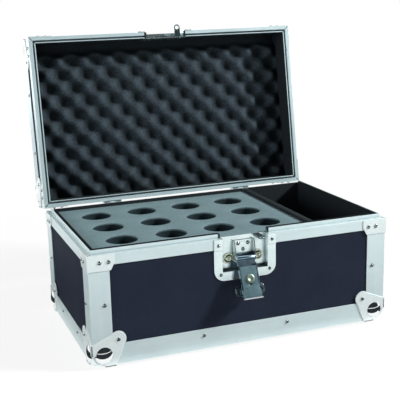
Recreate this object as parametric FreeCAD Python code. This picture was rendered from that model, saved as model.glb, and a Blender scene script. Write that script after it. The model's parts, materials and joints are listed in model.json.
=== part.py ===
# Aluminium-edged case for twelve microphones: hinged lid, foam lining, butterfly latch.
# Millimetres. X runs along the front, Y from front to back and Z up. The origin is on the
# floor under the middle of the base. The lid and the latch are modelled shut and then
# swung to the open position that the case is stored in.
import FreeCAD, Part

import math
import os

# Case
case_width = 460.0
case_depth = 275.0
base_height = 160.0
lid_height = 66.0
panel_thickness = 7.0
lid_open_angle = 99.3

# Clearances
moving_gap = 0.3
soft_gap = 0.3
pin_gap = 0.05
cut_overrun = 5.0

# Edge angles
angle_leg = 30.0
angle_wall = 1.5

# Closing rims
base_rim_height = 15.5
lid_rim_height = 17.6
rim_inner_height = 12.0
rim_web = 2.0
tongue_height = 6.0
rear_tongue_height = 3.5
tongue_setback = 6.0
tongue_root = 2.0
tongue_tip = 1.0
groove_side_gap = 0.45
groove_top_gap = 0.8

# Ball corners
ball_radius = 21.5
ball_facets = 16
ball_proud = 5.0
corner_plate = 1.5
corner_arm = 33.0
corner_lobe_place = 37.0
corner_lobe_radius = 12.0
corner_lobe_facets = 5

# Corner braces on the rims
brace_length = 38.0
base_brace_height = 22.7
lid_brace_height = 16.5
brace_sheet = 1.2
brace_chamfer_length = 6.0
brace_chamfer_height = 11.0

# Base foam
mic_hole_diameter = 45.0
mic_columns = 4
mic_rows = 3
mic_hole_left_margin = 54.3
mic_hole_right_margin = 51.3
mic_hole_front_margin = 53.0
foam_left_gap = 2.0
foam_front_gap = 3.0
foam_top_drop = 1.0
foam_pad_thickness = 10.0
compartment_width = 100.5
compartment_pad_thickness = 6.0
divider_thickness = 9.0
divider_rise = 3.0

# Lid foam
egg_pitch_x = 42.8
egg_pitch_y = 41.2
egg_height = 15.5
egg_slab = 10.0
egg_valley = 0.8
egg_top_share = 0.25

# Latch dishes
dish_recess_width = 70.0
dish_recess_depth = 10.0
dish_sheet = 1.2
dish_flange = 13.0
lid_dish_end_flange = 6.0
dish_round = 16.0
dish_fit = 0.3
base_dish_drop = 49.5
lid_dish_rise = 29.5

# Padlock eyes
eye_offset = 23.0
eye_reach = 11.0
eye_ring_radius = 5.0
eye_hole_radius = 3.2
eye_sheet = 2.5
eye_parting = 2.0

# Latch bracket and hinge
latch_hang_angle = 24.0
latch_hinge_drop = 32.0
latch_hinge_setback = 1.0
latch_pin_radius = 2.0
bracket_width = 32.0
bracket_sheet = 1.5
bracket_top_drop = 7.0
bracket_eye_radius = 4.5
bracket_top_depth = 5.0
bracket_hole_radius = 2.2
bracket_hole_spacing = 15.0
bracket_hole_top_inset = 5.0
bracket_hole_low_inset = 14.0

# Latch leaf and claw
leaf_sheet = 1.5
leaf_barrel_radius = 3.6
leaf_length = 56.0
leaf_rail_height = 4.5
leaf_rail_start = 9.0
leaf_rail_end = 39.0
leaf_side_gap = 0.4
claw_sheet = 3.0
claw_gap = 0.3
claw_start = 13.0
claw_head_start = 46.0
claw_length = 60.0
claw_lip_sheet = 1.6
claw_lip_height = 6.0
claw_draw = 6.0
guide_place = 31.0
guide_radius = 3.0
guide_head_radius = 6.0
guide_head = 1.8

# Butterfly
butterfly_place = 46.0
butterfly_shaft_radius = 5.4
cam_pin_radius = 2.2
cam_pin_depth = 1.4
cam_slot_gap = 0.8
hub_sheet = 1.8
wing_axis_offset = 9.5
wing_axis_depth = 3.4
wing_pin_radius = 1.0
wing_barrel_radius = 2.0
wing_half_length = 7.6
wing_reach = 13.0
wing_sheet = 1.4
wing_round = 5.0
wing_hole_radius = 2.7
wing_lug = 2.0

# Strike on the lid
strike_sheet = 1.5
strike_width = 30.0
strike_below = 14.0
strike_above = 7.0
strike_clear = 0.4
strike_grip = 3.0

# Lid hinges
hinge_spacing = 232.0
hinge_width = 30.0
hinge_setback = 5.3
hinge_drop = 2.0
hinge_sheet = 2.0
hinge_leaf_height = 34.0
hinge_barrel_radius = 3.0
hinge_pin_radius = 1.5
hinge_knuckle = 9.4
hinge_top_gap = 1.0
hinge_stop_length = 14.0
hinge_stop_sheet = 2.5

# Carrying handle
handle_span = 124.0
handle_drop = 42.0
handle_rod_radius = 3.5
handle_pivot_height = 11.0
handle_stub = 9.0
grip_length = 78.0
grip_radius = 9.0
handle_bracket_length = 44.0
handle_bracket_width = 16.0
handle_bracket_sheet = 2.0
handle_boss_wall = 2.5
handle_boss_inset = 3.0

# Places worked out from the sizes above
half_width = case_width / 2
half_depth = case_depth / 2
sill_z = ball_proud
shoulder_z = sill_z + base_height
lid_low_z = shoulder_z + moving_gap
lid_top_z = lid_low_z + lid_height
ball_inset = ball_radius - ball_proud
rim_thickness = panel_thickness + 2 * angle_wall
panel_x = half_width - angle_wall
panel_y = half_depth - angle_wall
inner_x = panel_x - panel_thickness
inner_y = panel_y - panel_thickness
floor_z = sill_z + angle_wall + panel_thickness
ceiling_z = lid_top_z - angle_wall - panel_thickness
groove_depth = tongue_height - moving_gap + groove_top_gap
lid_rim_web = groove_depth + rim_web
dish_half = dish_recess_width / 2
dish_back_y = -half_depth + dish_recess_depth
base_dish_z = shoulder_z - base_dish_drop
lid_dish_z = lid_low_z + lid_dish_rise
latch_y = -half_depth + latch_hinge_setback
latch_z = shoulder_z - latch_hinge_drop
hinge_y = half_depth + hinge_setback
parting_z = shoulder_z + moving_gap / 2
hinge_z = parting_z - hinge_drop

X_AXIS = FreeCAD.Vector(1, 0, 0)
Y_AXIS = FreeCAD.Vector(0, 1, 0)
Z_AXIS = FreeCAD.Vector(0, 0, 1)
ORIGIN = FreeCAD.Vector(0, 0, 0)
SIDES = ("front", "right", "rear", "left")


def vec(x, y, z):
    """A point or a direction."""
    return FreeCAD.Vector(x, y, z)


def block(x0, x1, y0, y1, z0, z1):
    """A box between two corners."""
    return Part.makeBox(x1 - x0, y1 - y0, z1 - z0, vec(x0, y0, z0))


def rod(start, direction, radius, length):
    """A round bar."""
    return Part.makeCylinder(radius, length, start, direction)


def prism(points, sweep):
    """A closed outline moved along a straight line."""
    return Part.Face(Part.makePolygon(points + points[:1])).extrude(sweep)


def prism_x(outline, x0, x1):
    """An outline of (y, z) points, extruded along X."""
    return prism([vec(x0, y, z) for y, z in outline], vec(x1 - x0, 0, 0))


def prism_y(outline, y0, y1):
    """An outline of (x, z) points, extruded along Y."""
    return prism([vec(x, y0, z) for x, z in outline], vec(0, y1 - y0, 0))


def prism_z(outline, z0, z1):
    """An outline of (x, y) points, extruded along Z."""
    return prism([vec(x, y, z0) for x, y in outline], vec(0, 0, z1 - z0))


def joined(shapes):
    """One solid of several that touch or overlap."""
    first, *others = shapes
    return first.fuse(others).removeSplitter() if others else first


def pairs(points):
    """Each point of a closed outline with the next."""
    return list(zip(points, points[1:] + points[:1]))


def flat_solid(outlines):
    """A solid of flat faces, from the outline of each."""
    faces = [Part.Face(Part.makePolygon(outline + outline[:1])) for outline in outlines]
    return Part.makeSolid(Part.makeShell(faces))


def turned(shape, centre, axis, angle):
    """A copy, turned about an axis."""
    copy = shape.copy()
    copy.rotate(centre, axis, angle)
    return copy


def flipped(shape, normal, point=ORIGIN):
    """A mirror image."""
    return shape.mirror(point, normal)


def four_corners(shape):
    """A corner piece, made at the front left, and its three mirror images."""
    pair = [shape, flipped(shape, X_AXIS)]
    return pair + [flipped(piece, Y_AXIS) for piece in pair]


def save(name, *shapes):
    """Write one node, with each separate solid in it."""
    solids = [solid for shape in shapes for solid in shape.Solids]
    shape = solids[0] if len(solids) == 1 else Part.makeCompound(solids)
    shape.exportStep(os.path.join("parts", name + ".step"))


def opened(*shapes):
    """Lid pieces, swung from shut to open."""
    return [turned(shape, vec(0, hinge_y, hinge_z), X_AXIS, -lid_open_angle) for shape in shapes]


def hanging(*shapes):
    """Latch pieces, swung from shut to hanging."""
    centre = vec(0, latch_y, latch_z)
    return [turned(shape, centre, X_AXIS, 180 - latch_hang_angle) for shape in shapes]


# Corners that the balls take the place of
corner_cube = Part.makeBox(*[ball_inset] * 3, vec(-half_width, -half_depth, 0))
low_cubes = four_corners(corner_cube.translated(vec(0, 0, sill_z)))
high_cubes = four_corners(corner_cube.translated(vec(0, 0, lid_top_z - ball_inset)))


def trimmed(shape):
    """A case piece without the eight corners that hold the balls."""
    return shape.cut(low_cubes + high_cubes)


def side_frame(side):
    """Where a side starts at its left end, its direction, its inward direction and its length."""
    return {
        "front": (vec(-half_width, -half_depth, 0), X_AXIS, Y_AXIS, case_width),
        "right": (vec(half_width, -half_depth, 0), Y_AXIS, -X_AXIS, case_depth),
        "rear": (vec(half_width, half_depth, 0), -X_AXIS, -Y_AXIS, case_width),
        "left": (vec(-half_width, half_depth, 0), -Y_AXIS, X_AXIS, case_depth),
    }[side]


def edge_run(profile, side):
    """An extrusion along one side, mitred at both ends, from (depth, height) points."""
    start, along, inward, length = side_frame(side)
    outline = [start + inward * depth + Z_AXIS * height for depth, height in profile]
    bar = prism(outline, along * length)
    deep = max(depth for depth, _ in profile)
    low = min(height for _, height in profile)
    high = max(height for _, height in profile)
    plan = [
        start,
        start + along * length,
        start + along * (length - deep) + inward * deep,
        start + along * deep + inward * deep,
    ]
    return bar.common(prism([point + Z_AXIS * low for point in plan], Z_AXIS * (high - low)))


def angle_profile(edge_z, upward):
    """An angle bar's section on a bottom edge, or on a top edge if it points down."""
    leg = angle_leg * upward
    wall = angle_wall * upward
    return [
        (0, edge_z),
        (angle_leg, edge_z),
        (angle_leg, edge_z + wall),
        (angle_wall, edge_z + wall),
        (angle_wall, edge_z + leg),
        (0, edge_z + leg),
    ]


def corner_post(low, high):
    """A corner angle at the front left, upright."""
    x, y = -half_width, -half_depth
    outline = [
        (x, y),
        (x + angle_leg, y),
        (x + angle_leg, y + angle_wall),
        (x + angle_wall, y + angle_wall),
        (x + angle_wall, y + angle_leg),
        (x, y + angle_leg),
    ]
    return prism_z(outline, low, high)


def corner_brace(edge_z, upward, height):
    """A folded plate over a rim's front left corner."""
    lower = edge_z + upward * (height - brace_chamfer_height)
    far = edge_z + upward * height
    x0, x1 = -half_width - brace_sheet, -half_width + brace_length
    y0, y1 = -half_depth - brace_sheet, -half_depth + brace_length
    front = [(x0, edge_z), (x1, edge_z), (x1, lower), (x1 - brace_chamfer_length, far), (x0, far)]
    side = [(y0, edge_z), (y1, edge_z), (y1, lower), (y1 - brace_chamfer_length, far), (y0, far)]
    return joined([prism_y(front, y0, -half_depth), prism_x(side, x0, -half_width)])


def faceted_ball(centre):
    """A ball of few flat faces, because there are eight, with a point at its lowest and highest."""
    bands = ball_facets // 2
    rings = []
    for band in range(1, bands):
        tilt = math.pi * band / bands
        level, radius = -ball_radius * math.cos(tilt), ball_radius * math.sin(tilt)
        turns = [2 * math.pi * step / ball_facets for step in range(ball_facets)]
        rings.append([centre + vec(radius * math.cos(t), radius * math.sin(t), level) for t in turns])
    outlines = [[a, b, centre - Z_AXIS * ball_radius] for a, b in pairs(rings[0])]
    outlines += [[a, b, centre + Z_AXIS * ball_radius] for a, b in pairs(rings[-1])]
    for lower, upper in zip(rings, rings[1:]):
        outlines += [[a, b, d, c] for (a, b), (c, d) in zip(pairs(lower), pairs(upper))]
    return flat_solid(outlines)


def ball_corner():
    """A pressed ball corner at the front left, with the case's corner at height 0."""
    reach = corner_lobe_place + corner_lobe_radius
    span = reach + cut_overrun
    corner = vec(-half_width, -half_depth, 0)
    meeting = corner - vec(1, 1, 1) * corner_plate
    inner = Part.makeBox(*[span] * 3, corner)
    outline = [(-corner_plate, corner_arm), (-corner_plate, -corner_plate), (corner_arm, -corner_plate)]
    for step in range(corner_lobe_facets + 1):
        turn = math.pi * (step / corner_lobe_facets - 1 / 4)
        across = corner_lobe_place + corner_lobe_radius * math.cos(turn)
        along = corner_lobe_place + corner_lobe_radius * math.sin(turn)
        outline.append((across, along))
    flat = prism_z(outline, -corner_plate, 0)
    plates = [
        flat,
        turned(flat, ORIGIN, vec(1, 1, 1), 120),
        turned(flat, ORIGIN, vec(1, 1, 1), 240),
    ]
    plates = joined([plate.translated(corner) for plate in plates])
    cube = Part.makeBox(*[ball_inset] * 3, corner)
    cap = Part.makeBox(*[ball_inset + corner_plate] * 3, meeting)
    ball = faceted_ball(corner + vec(1, 1, 1) * ball_inset).cut(inner.cut(cube))
    return joined([ball, plates.cut(cap)])


def make_base_box():
    """Panels, edge angles and posts of the base."""
    low, high = sill_z + angle_wall, shoulder_z - rim_web
    pan = dish_half + dish_sheet + dish_fit
    front = block(-inner_x, inner_x, -panel_y, -inner_y, low, high)
    front = front.cut(block(-pan, pan, -half_depth, 0, base_dish_z - dish_sheet - dish_fit, shoulder_z))
    side = block(-panel_x, -inner_x, -panel_y, panel_y, low, high)
    save("base_front_panel", trimmed(front))
    save("base_rear_panel", trimmed(block(-inner_x, inner_x, inner_y, panel_y, low, high)))
    save("base_left_panel", trimmed(side))
    save("base_right_panel", trimmed(flipped(side, X_AXIS)))
    save("base_bottom_panel", trimmed(block(-inner_x, inner_x, -inner_y, inner_y, low, floor_z)))
    for side_name in SIDES:
        sill = edge_run(angle_profile(sill_z, 1), side_name)
        save("base_" + side_name + "_sill", trimmed(sill))
    post = corner_post(sill_z + angle_leg, shoulder_z - base_rim_height)
    save("base_corner_posts", *four_corners(post))
    save("base_corner_braces", *four_corners(corner_brace(shoulder_z, -1, base_brace_height)))
    save("base_ball_corners", *four_corners(ball_corner().translated(vec(0, 0, sill_z))))


def make_base_rims():
    """The base's closing rim. Its tongue tapers, and is lower at the rear, to swing out of its groove."""
    profiles = {}
    for side in SIDES:
        tongue_top = shoulder_z + (rear_tongue_height if side == "rear" else tongue_height)
        profiles[side] = [
            (0, shoulder_z),
            (0, shoulder_z - base_rim_height),
            (angle_wall, shoulder_z - base_rim_height),
            (angle_wall, shoulder_z - rim_web),
            (rim_thickness - angle_wall, shoulder_z - rim_web),
            (rim_thickness - angle_wall, shoulder_z - rim_inner_height),
            (rim_thickness, shoulder_z - rim_inner_height),
            (rim_thickness, shoulder_z),
            (tongue_setback + tongue_root, shoulder_z),
            (tongue_setback + tongue_tip, tongue_top),
            (tongue_setback, tongue_top),
            (tongue_setback, shoulder_z),
        ]
    save_rims("base", profiles)


def save_rims(part, profiles):
    """Four mitred lengths of rim, the front one cut through for the latch dish."""
    gap = dish_half + dish_sheet + dish_fit
    for side, profile in profiles.items():
        rim = edge_run(profile, side)
        if side == "front":
            heights = [height for _, height in profile]
            rim = rim.cut(block(-gap, gap, -half_depth, 0, min(heights), max(heights)))
        pieces = [rim] if part == "base" else opened(rim)
        save(part + "_" + side + "_rim", *pieces)


def make_base_foam():
    """The block with the holes, the pads, and the divider beside the empty compartment."""
    right = inner_x - compartment_width - divider_thickness - soft_gap
    left = -half_width + rim_thickness + foam_left_gap
    foam_y = inner_y - foam_front_gap
    top = shoulder_z - foam_top_drop
    low = floor_z + foam_pad_thickness
    foam = block(left, right, -foam_y, foam_y, low, top)
    first_x, first_y = left + mic_hole_left_margin, -foam_y + mic_hole_front_margin
    pitch_x = (right - mic_hole_right_margin - first_x) / (mic_columns - 1)
    pitch_y = -2 * first_y / (mic_rows - 1)
    holes = []
    for column in range(mic_columns):
        for row in range(mic_rows):
            foot = vec(first_x + pitch_x * column, first_y + pitch_y * row, low)
            holes.append(rod(foot, Z_AXIS, mic_hole_diameter / 2, top - low))
    save("foam_block", foam.cut(holes))
    save("foam_floor_pad", trimmed(block(left, right, -foam_y, foam_y, floor_z, low)))
    divider_x = right + soft_gap
    board = [divider_x, divider_x + divider_thickness, -inner_y, inner_y, floor_z]
    flange_y = half_depth - rim_thickness
    rise = shoulder_z + divider_rise
    divider = block(*board, shoulder_z - rim_inner_height)
    divider = joined([divider, block(*board[:2], -flange_y, flange_y, floor_z, rise)])
    save("compartment_divider", divider)
    pad = block(board[1], inner_x, -inner_y, inner_y, floor_z, floor_z + compartment_pad_thickness)
    save("compartment_floor_pad", trimmed(pad))


def dish(edge_z, end_z, rim_height, end_flange):
    """A pressed latch dish: a pan with one open end, and a flange joggled over the rim."""
    up = math.copysign(1, end_z - edge_z)
    pan_x, pan_y = dish_half + dish_sheet, dish_back_y + dish_sheet
    pan_z = end_z + up * dish_sheet
    lip_x, lip_z = pan_x + dish_flange - dish_sheet, end_z + up * end_flange
    low, high = sorted((edge_z, pan_z))
    shell = block(-pan_x, pan_x, -panel_y - dish_sheet, pan_y, low, high)
    step_z = edge_z + up * rim_height
    round_z = lip_z - up * dish_round
    rim_face, panel_face = -half_depth, -panel_y
    upper = sorted((edge_z, step_z))
    flange = [block(-lip_x, lip_x, rim_face - dish_sheet, rim_face, *upper)]
    joggle = sorted((step_z, step_z + up * dish_sheet))
    flange.append(block(-lip_x, lip_x, rim_face - dish_sheet, panel_face, *joggle))
    flange.append(block(-lip_x, lip_x, panel_face - dish_sheet, panel_face, *sorted((step_z, round_z))))
    round_x = lip_x - dish_round
    ends = [panel_face - dish_sheet, panel_face, *sorted((round_z, lip_z))]
    flange.append(block(-round_x, round_x, *ends))
    for side in (-1, 1):
        centre = vec(side * round_x, panel_face - dish_sheet, round_z)
        flange.append(rod(centre, Y_AXIS, dish_round, dish_sheet).common(block(-lip_x, lip_x, *ends)))
    hollow = block(-dish_half, dish_half, rim_face - dish_sheet, dish_back_y, *sorted((edge_z, end_z)))
    return joined([shell] + flange).cut(hollow)


def padlock_eye(low):
    """A flat eye that stands out of a dish, with its hole upright."""
    tip = vec(eye_offset, -half_depth - eye_reach + eye_ring_radius, low)
    x0, x1 = eye_offset - eye_ring_radius, eye_offset + eye_ring_radius
    stem = block(x0, x1, tip.y, dish_back_y, low, low + eye_sheet)
    ring = joined([stem, rod(tip, Z_AXIS, eye_ring_radius, eye_sheet)])
    return ring.cut(rod(tip, Z_AXIS, eye_hole_radius, eye_sheet))


def make_latch_bracket():
    """The fixed half of the latch, in the base's dish."""
    save("latch_dish", dish(shoulder_z, base_dish_z, base_rim_height, dish_flange))
    save("base_padlock_eye", padlock_eye(shoulder_z - eye_parting - eye_sheet))
    half, top = bracket_width / 2, shoulder_z - bracket_top_drop
    plate_y = dish_back_y - bracket_sheet
    low = latch_z - bracket_eye_radius
    plate = block(-half, half, plate_y, dish_back_y, low, top)
    holes = [
        (-bracket_hole_spacing / 2, top - bracket_hole_top_inset),
        (bracket_hole_spacing / 2, top - bracket_hole_top_inset),
        (0, top - bracket_hole_low_inset),
    ]
    drills = [rod(vec(x, plate_y, z), Y_AXIS, bracket_hole_radius, bracket_sheet) for x, z in holes]
    plate = plate.cut(drills)
    outline = [
        (dish_back_y, low),
        (dish_back_y, top),
        (plate_y - bracket_top_depth, top),
        (latch_y - bracket_eye_radius, latch_z),
        (latch_y, low),
    ]
    eye = rod(vec(-half, latch_y, latch_z), X_AXIS, bracket_eye_radius, bracket_sheet)
    cheek = joined([prism_x(outline, -half, -half + bracket_sheet), eye])
    bore = rod(vec(-half, latch_y, latch_z), X_AXIS, latch_pin_radius + pin_gap, bracket_width)
    save("latch_bracket", joined([plate, cheek, flipped(cheek, X_AXIS)]).cut(bore))
    save("latch_hinge_pin", rod(vec(-half, latch_y, latch_z), X_AXIS, latch_pin_radius, bracket_width))


def latch_point(x, depth, along):
    """A point on the shut latch: across, towards the case, and along from its hinge."""
    return vec(x, latch_y + depth, latch_z + along)


def latch_block(half, depth0, depth1, along0, along1):
    """A box on the shut latch, as wide on both sides."""
    low, high = latch_point(-half, depth0, along0), latch_point(half, depth1, along1)
    return block(low.x, high.x, low.y, high.y, low.z, high.z)


leaf_half = bracket_width / 2 - bracket_sheet - leaf_side_gap
claw_low = leaf_sheet / 2 + claw_gap
claw_high = claw_low + claw_sheet
channel_half = leaf_half - leaf_sheet


def make_latch_leaf():
    """The hinged leaf that carries the claw and the butterfly, and the rivet that guides the claw."""
    face = leaf_sheet / 2
    parts = [
        latch_block(leaf_half, -face, face, 0, leaf_length),
        rod(latch_point(-leaf_half, 0, 0), X_AXIS, leaf_barrel_radius, 2 * leaf_half),
    ]
    rails = latch_block(leaf_half, -face, leaf_rail_height, leaf_rail_start, leaf_rail_end)
    channel = latch_block(channel_half, face, leaf_rail_height, leaf_rail_start, leaf_rail_end)
    leaf = joined(parts + [rails.cut(channel)])
    pin = rod(latch_point(-leaf_half, 0, 0), X_AXIS, latch_pin_radius + pin_gap, 2 * leaf_half)
    shaft = rod(latch_point(0, -face, butterfly_place), Y_AXIS, butterfly_shaft_radius + pin_gap, leaf_sheet)
    save("latch_leaf", *hanging(leaf.cut([pin, shaft])))
    stem = rod(latch_point(0, face, guide_place), Y_AXIS, guide_radius, claw_high + claw_gap - face)
    foot = latch_point(0, claw_high + claw_gap, guide_place)
    head = rod(foot, Y_AXIS, guide_head_radius, guide_head)
    save("claw_guide_rivet", *hanging(joined([stem, head])))


def make_latch_claw():
    """The claw that slides on the leaf: a guide slot, a blind slot for the cam pin and a bent lip."""
    shank_half = channel_half - claw_gap
    shank = latch_block(shank_half, claw_low, claw_high, claw_start, claw_length)
    head = latch_block(leaf_half, claw_low, claw_high, claw_head_start, claw_length)
    lip_start = claw_length - claw_lip_sheet
    lip = latch_block(leaf_half, claw_low, claw_low + claw_lip_height, lip_start, claw_length)
    claw = joined([shank, head, lip])
    wide = guide_radius + claw_gap
    slot = [
        latch_block(wide, claw_low, claw_high, guide_place, guide_place + claw_draw),
        rod(latch_point(0, claw_low, guide_place), Y_AXIS, wide, claw_sheet),
        rod(latch_point(0, claw_low, guide_place + claw_draw), Y_AXIS, wide, claw_sheet),
    ]
    throw = claw_draw / 2
    cam_half = throw + cam_pin_radius + cam_slot_gap
    cam_wide = cam_pin_radius + cam_slot_gap
    cam_at = butterfly_place + throw
    cam_deep = leaf_sheet / 2 + claw_gap + cam_pin_depth + claw_gap
    cam_slot = latch_block(cam_half, claw_low, cam_deep, cam_at - cam_wide, cam_at + cam_wide)
    save("latch_claw", *hanging(claw.cut(slot + [cam_slot])))


def make_butterfly():
    """The turning piece: a hub under the leaf, a shaft through it and an eccentric pin in the claw."""
    face = leaf_sheet / 2
    top = -face - claw_gap
    inner = wing_axis_offset - wing_barrel_radius - moving_gap
    lug_start = wing_half_length + moving_gap
    lug_end = lug_start + wing_lug
    low = top - hub_sheet
    hub = latch_block(inner, low, top, butterfly_place - lug_end, butterfly_place + lug_end)
    shaft_end = face + claw_gap - pin_gap
    shaft_foot = latch_point(0, top, butterfly_place)
    shaft = rod(shaft_foot, Y_AXIS, butterfly_shaft_radius, shaft_end - top)
    pin_foot = latch_point(0, shaft_end, butterfly_place + claw_draw / 2)
    cam_pin = rod(pin_foot, Y_AXIS, cam_pin_radius, cam_pin_depth)
    parts = [hub, shaft, cam_pin]
    bores = []
    pins = []
    for side in (-1, 1):
        for end in (-lug_end, lug_start):
            at = latch_point(side * wing_axis_offset, -wing_axis_depth, butterfly_place + end)
            x0, x1 = sorted((side * (inner - pin_gap), at.x + side * wing_barrel_radius))
            lug = block(x0, x1, at.y - wing_barrel_radius, latch_y + top, at.z, at.z + wing_lug)
            parts.append(lug)
        foot = latch_point(side * wing_axis_offset, -wing_axis_depth, butterfly_place - lug_end)
        bores.append(rod(foot, Z_AXIS, wing_pin_radius + pin_gap, 2 * lug_end))
        pins.append(rod(foot, Z_AXIS, wing_pin_radius, 2 * lug_end))
    save("butterfly_hub", *hanging(joined(parts).cut(bores)))
    save("wing_pins", *hanging(*pins))


def make_wings():
    """Two folding wings, lying flat, each with a finger hole."""
    barrel_foot = latch_point(wing_axis_offset, -wing_axis_depth, butterfly_place - wing_half_length)
    barrel = rod(barrel_foot, Z_AXIS, wing_barrel_radius, 2 * wing_half_length)
    tip = wing_axis_offset + wing_reach
    y0, y1 = latch_y - wing_axis_depth - wing_sheet / 2, latch_y - wing_axis_depth + wing_sheet / 2
    z0, z1 = barrel_foot.z, barrel_foot.z + 2 * wing_half_length
    straight = tip - wing_round
    leaf = [
        block(wing_axis_offset, straight, y0, y1, z0, z1),
        block(straight, tip, y0, y1, z0 + wing_round, z1 - wing_round),
        rod(vec(straight, y0, z0 + wing_round), Y_AXIS, wing_round, wing_sheet),
        rod(vec(straight, y0, z1 - wing_round), Y_AXIS, wing_round, wing_sheet),
    ]
    hole_x = wing_axis_offset + (wing_reach + wing_barrel_radius) / 2
    hole = rod(vec(hole_x, y0, latch_z + butterfly_place), Y_AXIS, wing_hole_radius, wing_sheet)
    bore = rod(barrel_foot, Z_AXIS, wing_pin_radius + pin_gap, 2 * wing_half_length)
    wing = joined([barrel] + leaf).cut([hole, bore])
    save("wing_right", *hanging(wing))
    save("wing_left", *hanging(flipped(wing, X_AXIS)))


def make_lid_box():
    """Panels, edge angles and posts of the lid."""
    low, high = lid_low_z + lid_rim_web, lid_top_z - angle_wall
    pan = dish_half + dish_sheet + dish_fit
    front = block(-inner_x, inner_x, -panel_y, -inner_y, low, high)
    front = front.cut(block(-pan, pan, -half_depth, 0, low, lid_dish_z + dish_sheet + dish_fit))
    side = block(-panel_x, -inner_x, -panel_y, panel_y, low, high)
    save("lid_front_panel", *opened(trimmed(front)))
    save("lid_rear_panel", *opened(trimmed(block(-inner_x, inner_x, inner_y, panel_y, low, high))))
    save("lid_left_panel", *opened(trimmed(side)))
    save("lid_right_panel", *opened(trimmed(flipped(side, X_AXIS))))
    save("lid_top_panel", *opened(trimmed(block(-inner_x, inner_x, -inner_y, inner_y, ceiling_z, high))))
    for side_name in SIDES:
        edge = edge_run(angle_profile(lid_top_z, -1), side_name)
        save("lid_" + side_name + "_edge", *opened(trimmed(edge)))
    post = corner_post(lid_low_z + lid_rim_height, lid_top_z - angle_leg)
    save("lid_corner_posts", *opened(*four_corners(post)))
    brace = corner_brace(lid_low_z, 1, lid_brace_height)
    save("lid_corner_braces", *opened(*four_corners(brace)))
    ball = flipped(ball_corner(), Z_AXIS).translated(vec(0, 0, lid_top_z))
    save("lid_ball_corners", *opened(*four_corners(ball)))


def make_lid_rims():
    """The lid's closing rim, with the groove that takes the tongue."""
    groove_outer = tongue_setback - groove_side_gap
    groove_inner = tongue_setback + tongue_root + groove_side_gap
    low, web = lid_low_z, lid_low_z + lid_rim_web
    profile = [
        (0, low),
        (0, low + lid_rim_height),
        (angle_wall, low + lid_rim_height),
        (angle_wall, web),
        (rim_thickness - angle_wall, web),
        (rim_thickness - angle_wall, low + rim_inner_height),
        (rim_thickness, low + rim_inner_height),
        (rim_thickness, low),
        (groove_inner, low),
        (groove_inner, low + groove_depth),
        (groove_outer, low + groove_depth),
        (groove_outer, low),
    ]
    save_rims("lid", {side: profile for side in SIDES})


def egg_bump(x, y, low):
    """One bump of the egg-crate foam, pointing down, from a wide diamond to a small one."""
    rings = []
    for share, z in ((1, low), (egg_top_share, low - egg_height)):
        half_x = (egg_pitch_x / 2 - egg_valley) * share
        half_y = (egg_pitch_y / 2 - egg_valley) * share
        points = [(x + half_x, y), (x, y + half_y), (x - half_x, y), (x, y - half_y)]
        rings.append([vec(*point, z) for point in points])
    sides = [[a, b, d, c] for (a, b), (c, d) in zip(pairs(rings[0]), pairs(rings[1]))]
    return flat_solid(rings + sides)


def make_lid_foam():
    """Egg-crate foam under the lid's top: a slab with staggered bumps."""
    half_x, half_y = inner_x - soft_gap, inner_y - soft_gap
    low = ceiling_z - egg_slab
    slab = trimmed(block(-half_x, half_x, -half_y, half_y, low, ceiling_z))
    keep = block(-half_x, half_x, -half_y, half_y, low - egg_height, low)
    bumps = []
    rows = int(half_y / (egg_pitch_y / 2)) + 1
    columns = int(half_x / egg_pitch_x) + 1
    for row in range(-rows, rows + 1):
        shift = egg_pitch_x / 2 * (row % 2)
        for column in range(-columns, columns + 1):
            x, y = column * egg_pitch_x + shift, row * egg_pitch_y / 2
            bump = egg_bump(x, y, low)
            inside = abs(x) + egg_pitch_x / 2 <= half_x and abs(y) + egg_pitch_y / 2 <= half_y
            bump = bump if inside else bump.common(keep)
            bumps += bump.Solids
    save("lid_foam", *opened(slab.fuse(bumps)))


def make_lid_latch():
    """The lid's half of the latch: its dish, the strike that the claw pulls on, and its eye."""
    pan = dish(lid_low_z, lid_dish_z, lid_rim_height, lid_dish_end_flange)
    save("lid_latch_dish", *opened(pan))
    save("lid_padlock_eye", *opened(padlock_eye(lid_low_z + eye_parting)))
    half = strike_width / 2
    ledge_top = latch_z + claw_length - claw_lip_sheet - claw_draw - strike_clear
    plate_y = dish_back_y - strike_sheet
    plate = block(-half, half, plate_y, dish_back_y, ledge_top - strike_below, ledge_top + strike_above)
    ledge = block(-half, half, plate_y - strike_grip, plate_y, ledge_top - strike_sheet, ledge_top)
    save("latch_strike", *opened(joined([plate, ledge])))


def hinge_leaf(upward, rim_height):
    """A hinge leaf's section, joggled from the rim onto the panel, as (y, z) points."""
    edge = parting_z + upward * (hinge_top_gap + moving_gap / 2)
    step = parting_z + upward * (rim_height + moving_gap / 2)
    end = parting_z + upward * hinge_leaf_height
    rim_face, panel_face = half_depth, panel_y
    return [
        (rim_face, edge),
        (rim_face, step),
        (panel_face, step),
        (panel_face, end),
        (panel_face + hinge_sheet, end),
        (panel_face + hinge_sheet, step + upward * hinge_sheet),
        (rim_face + hinge_sheet, step),
        (rim_face + hinge_sheet, edge),
    ]


def hinge_arm(upward):
    """The web from a leaf to its knuckle, as (y, z) points."""
    edge = parting_z + upward * (hinge_top_gap + moving_gap / 2)
    return [
        (half_depth + hinge_sheet / 2, edge),
        (half_depth + hinge_sheet / 2, edge + upward * hinge_barrel_radius),
        (half_depth + hinge_sheet, edge + upward * hinge_barrel_radius),
        (hinge_y, hinge_z + upward * hinge_barrel_radius),
        (hinge_y, hinge_z),
    ]


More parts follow.
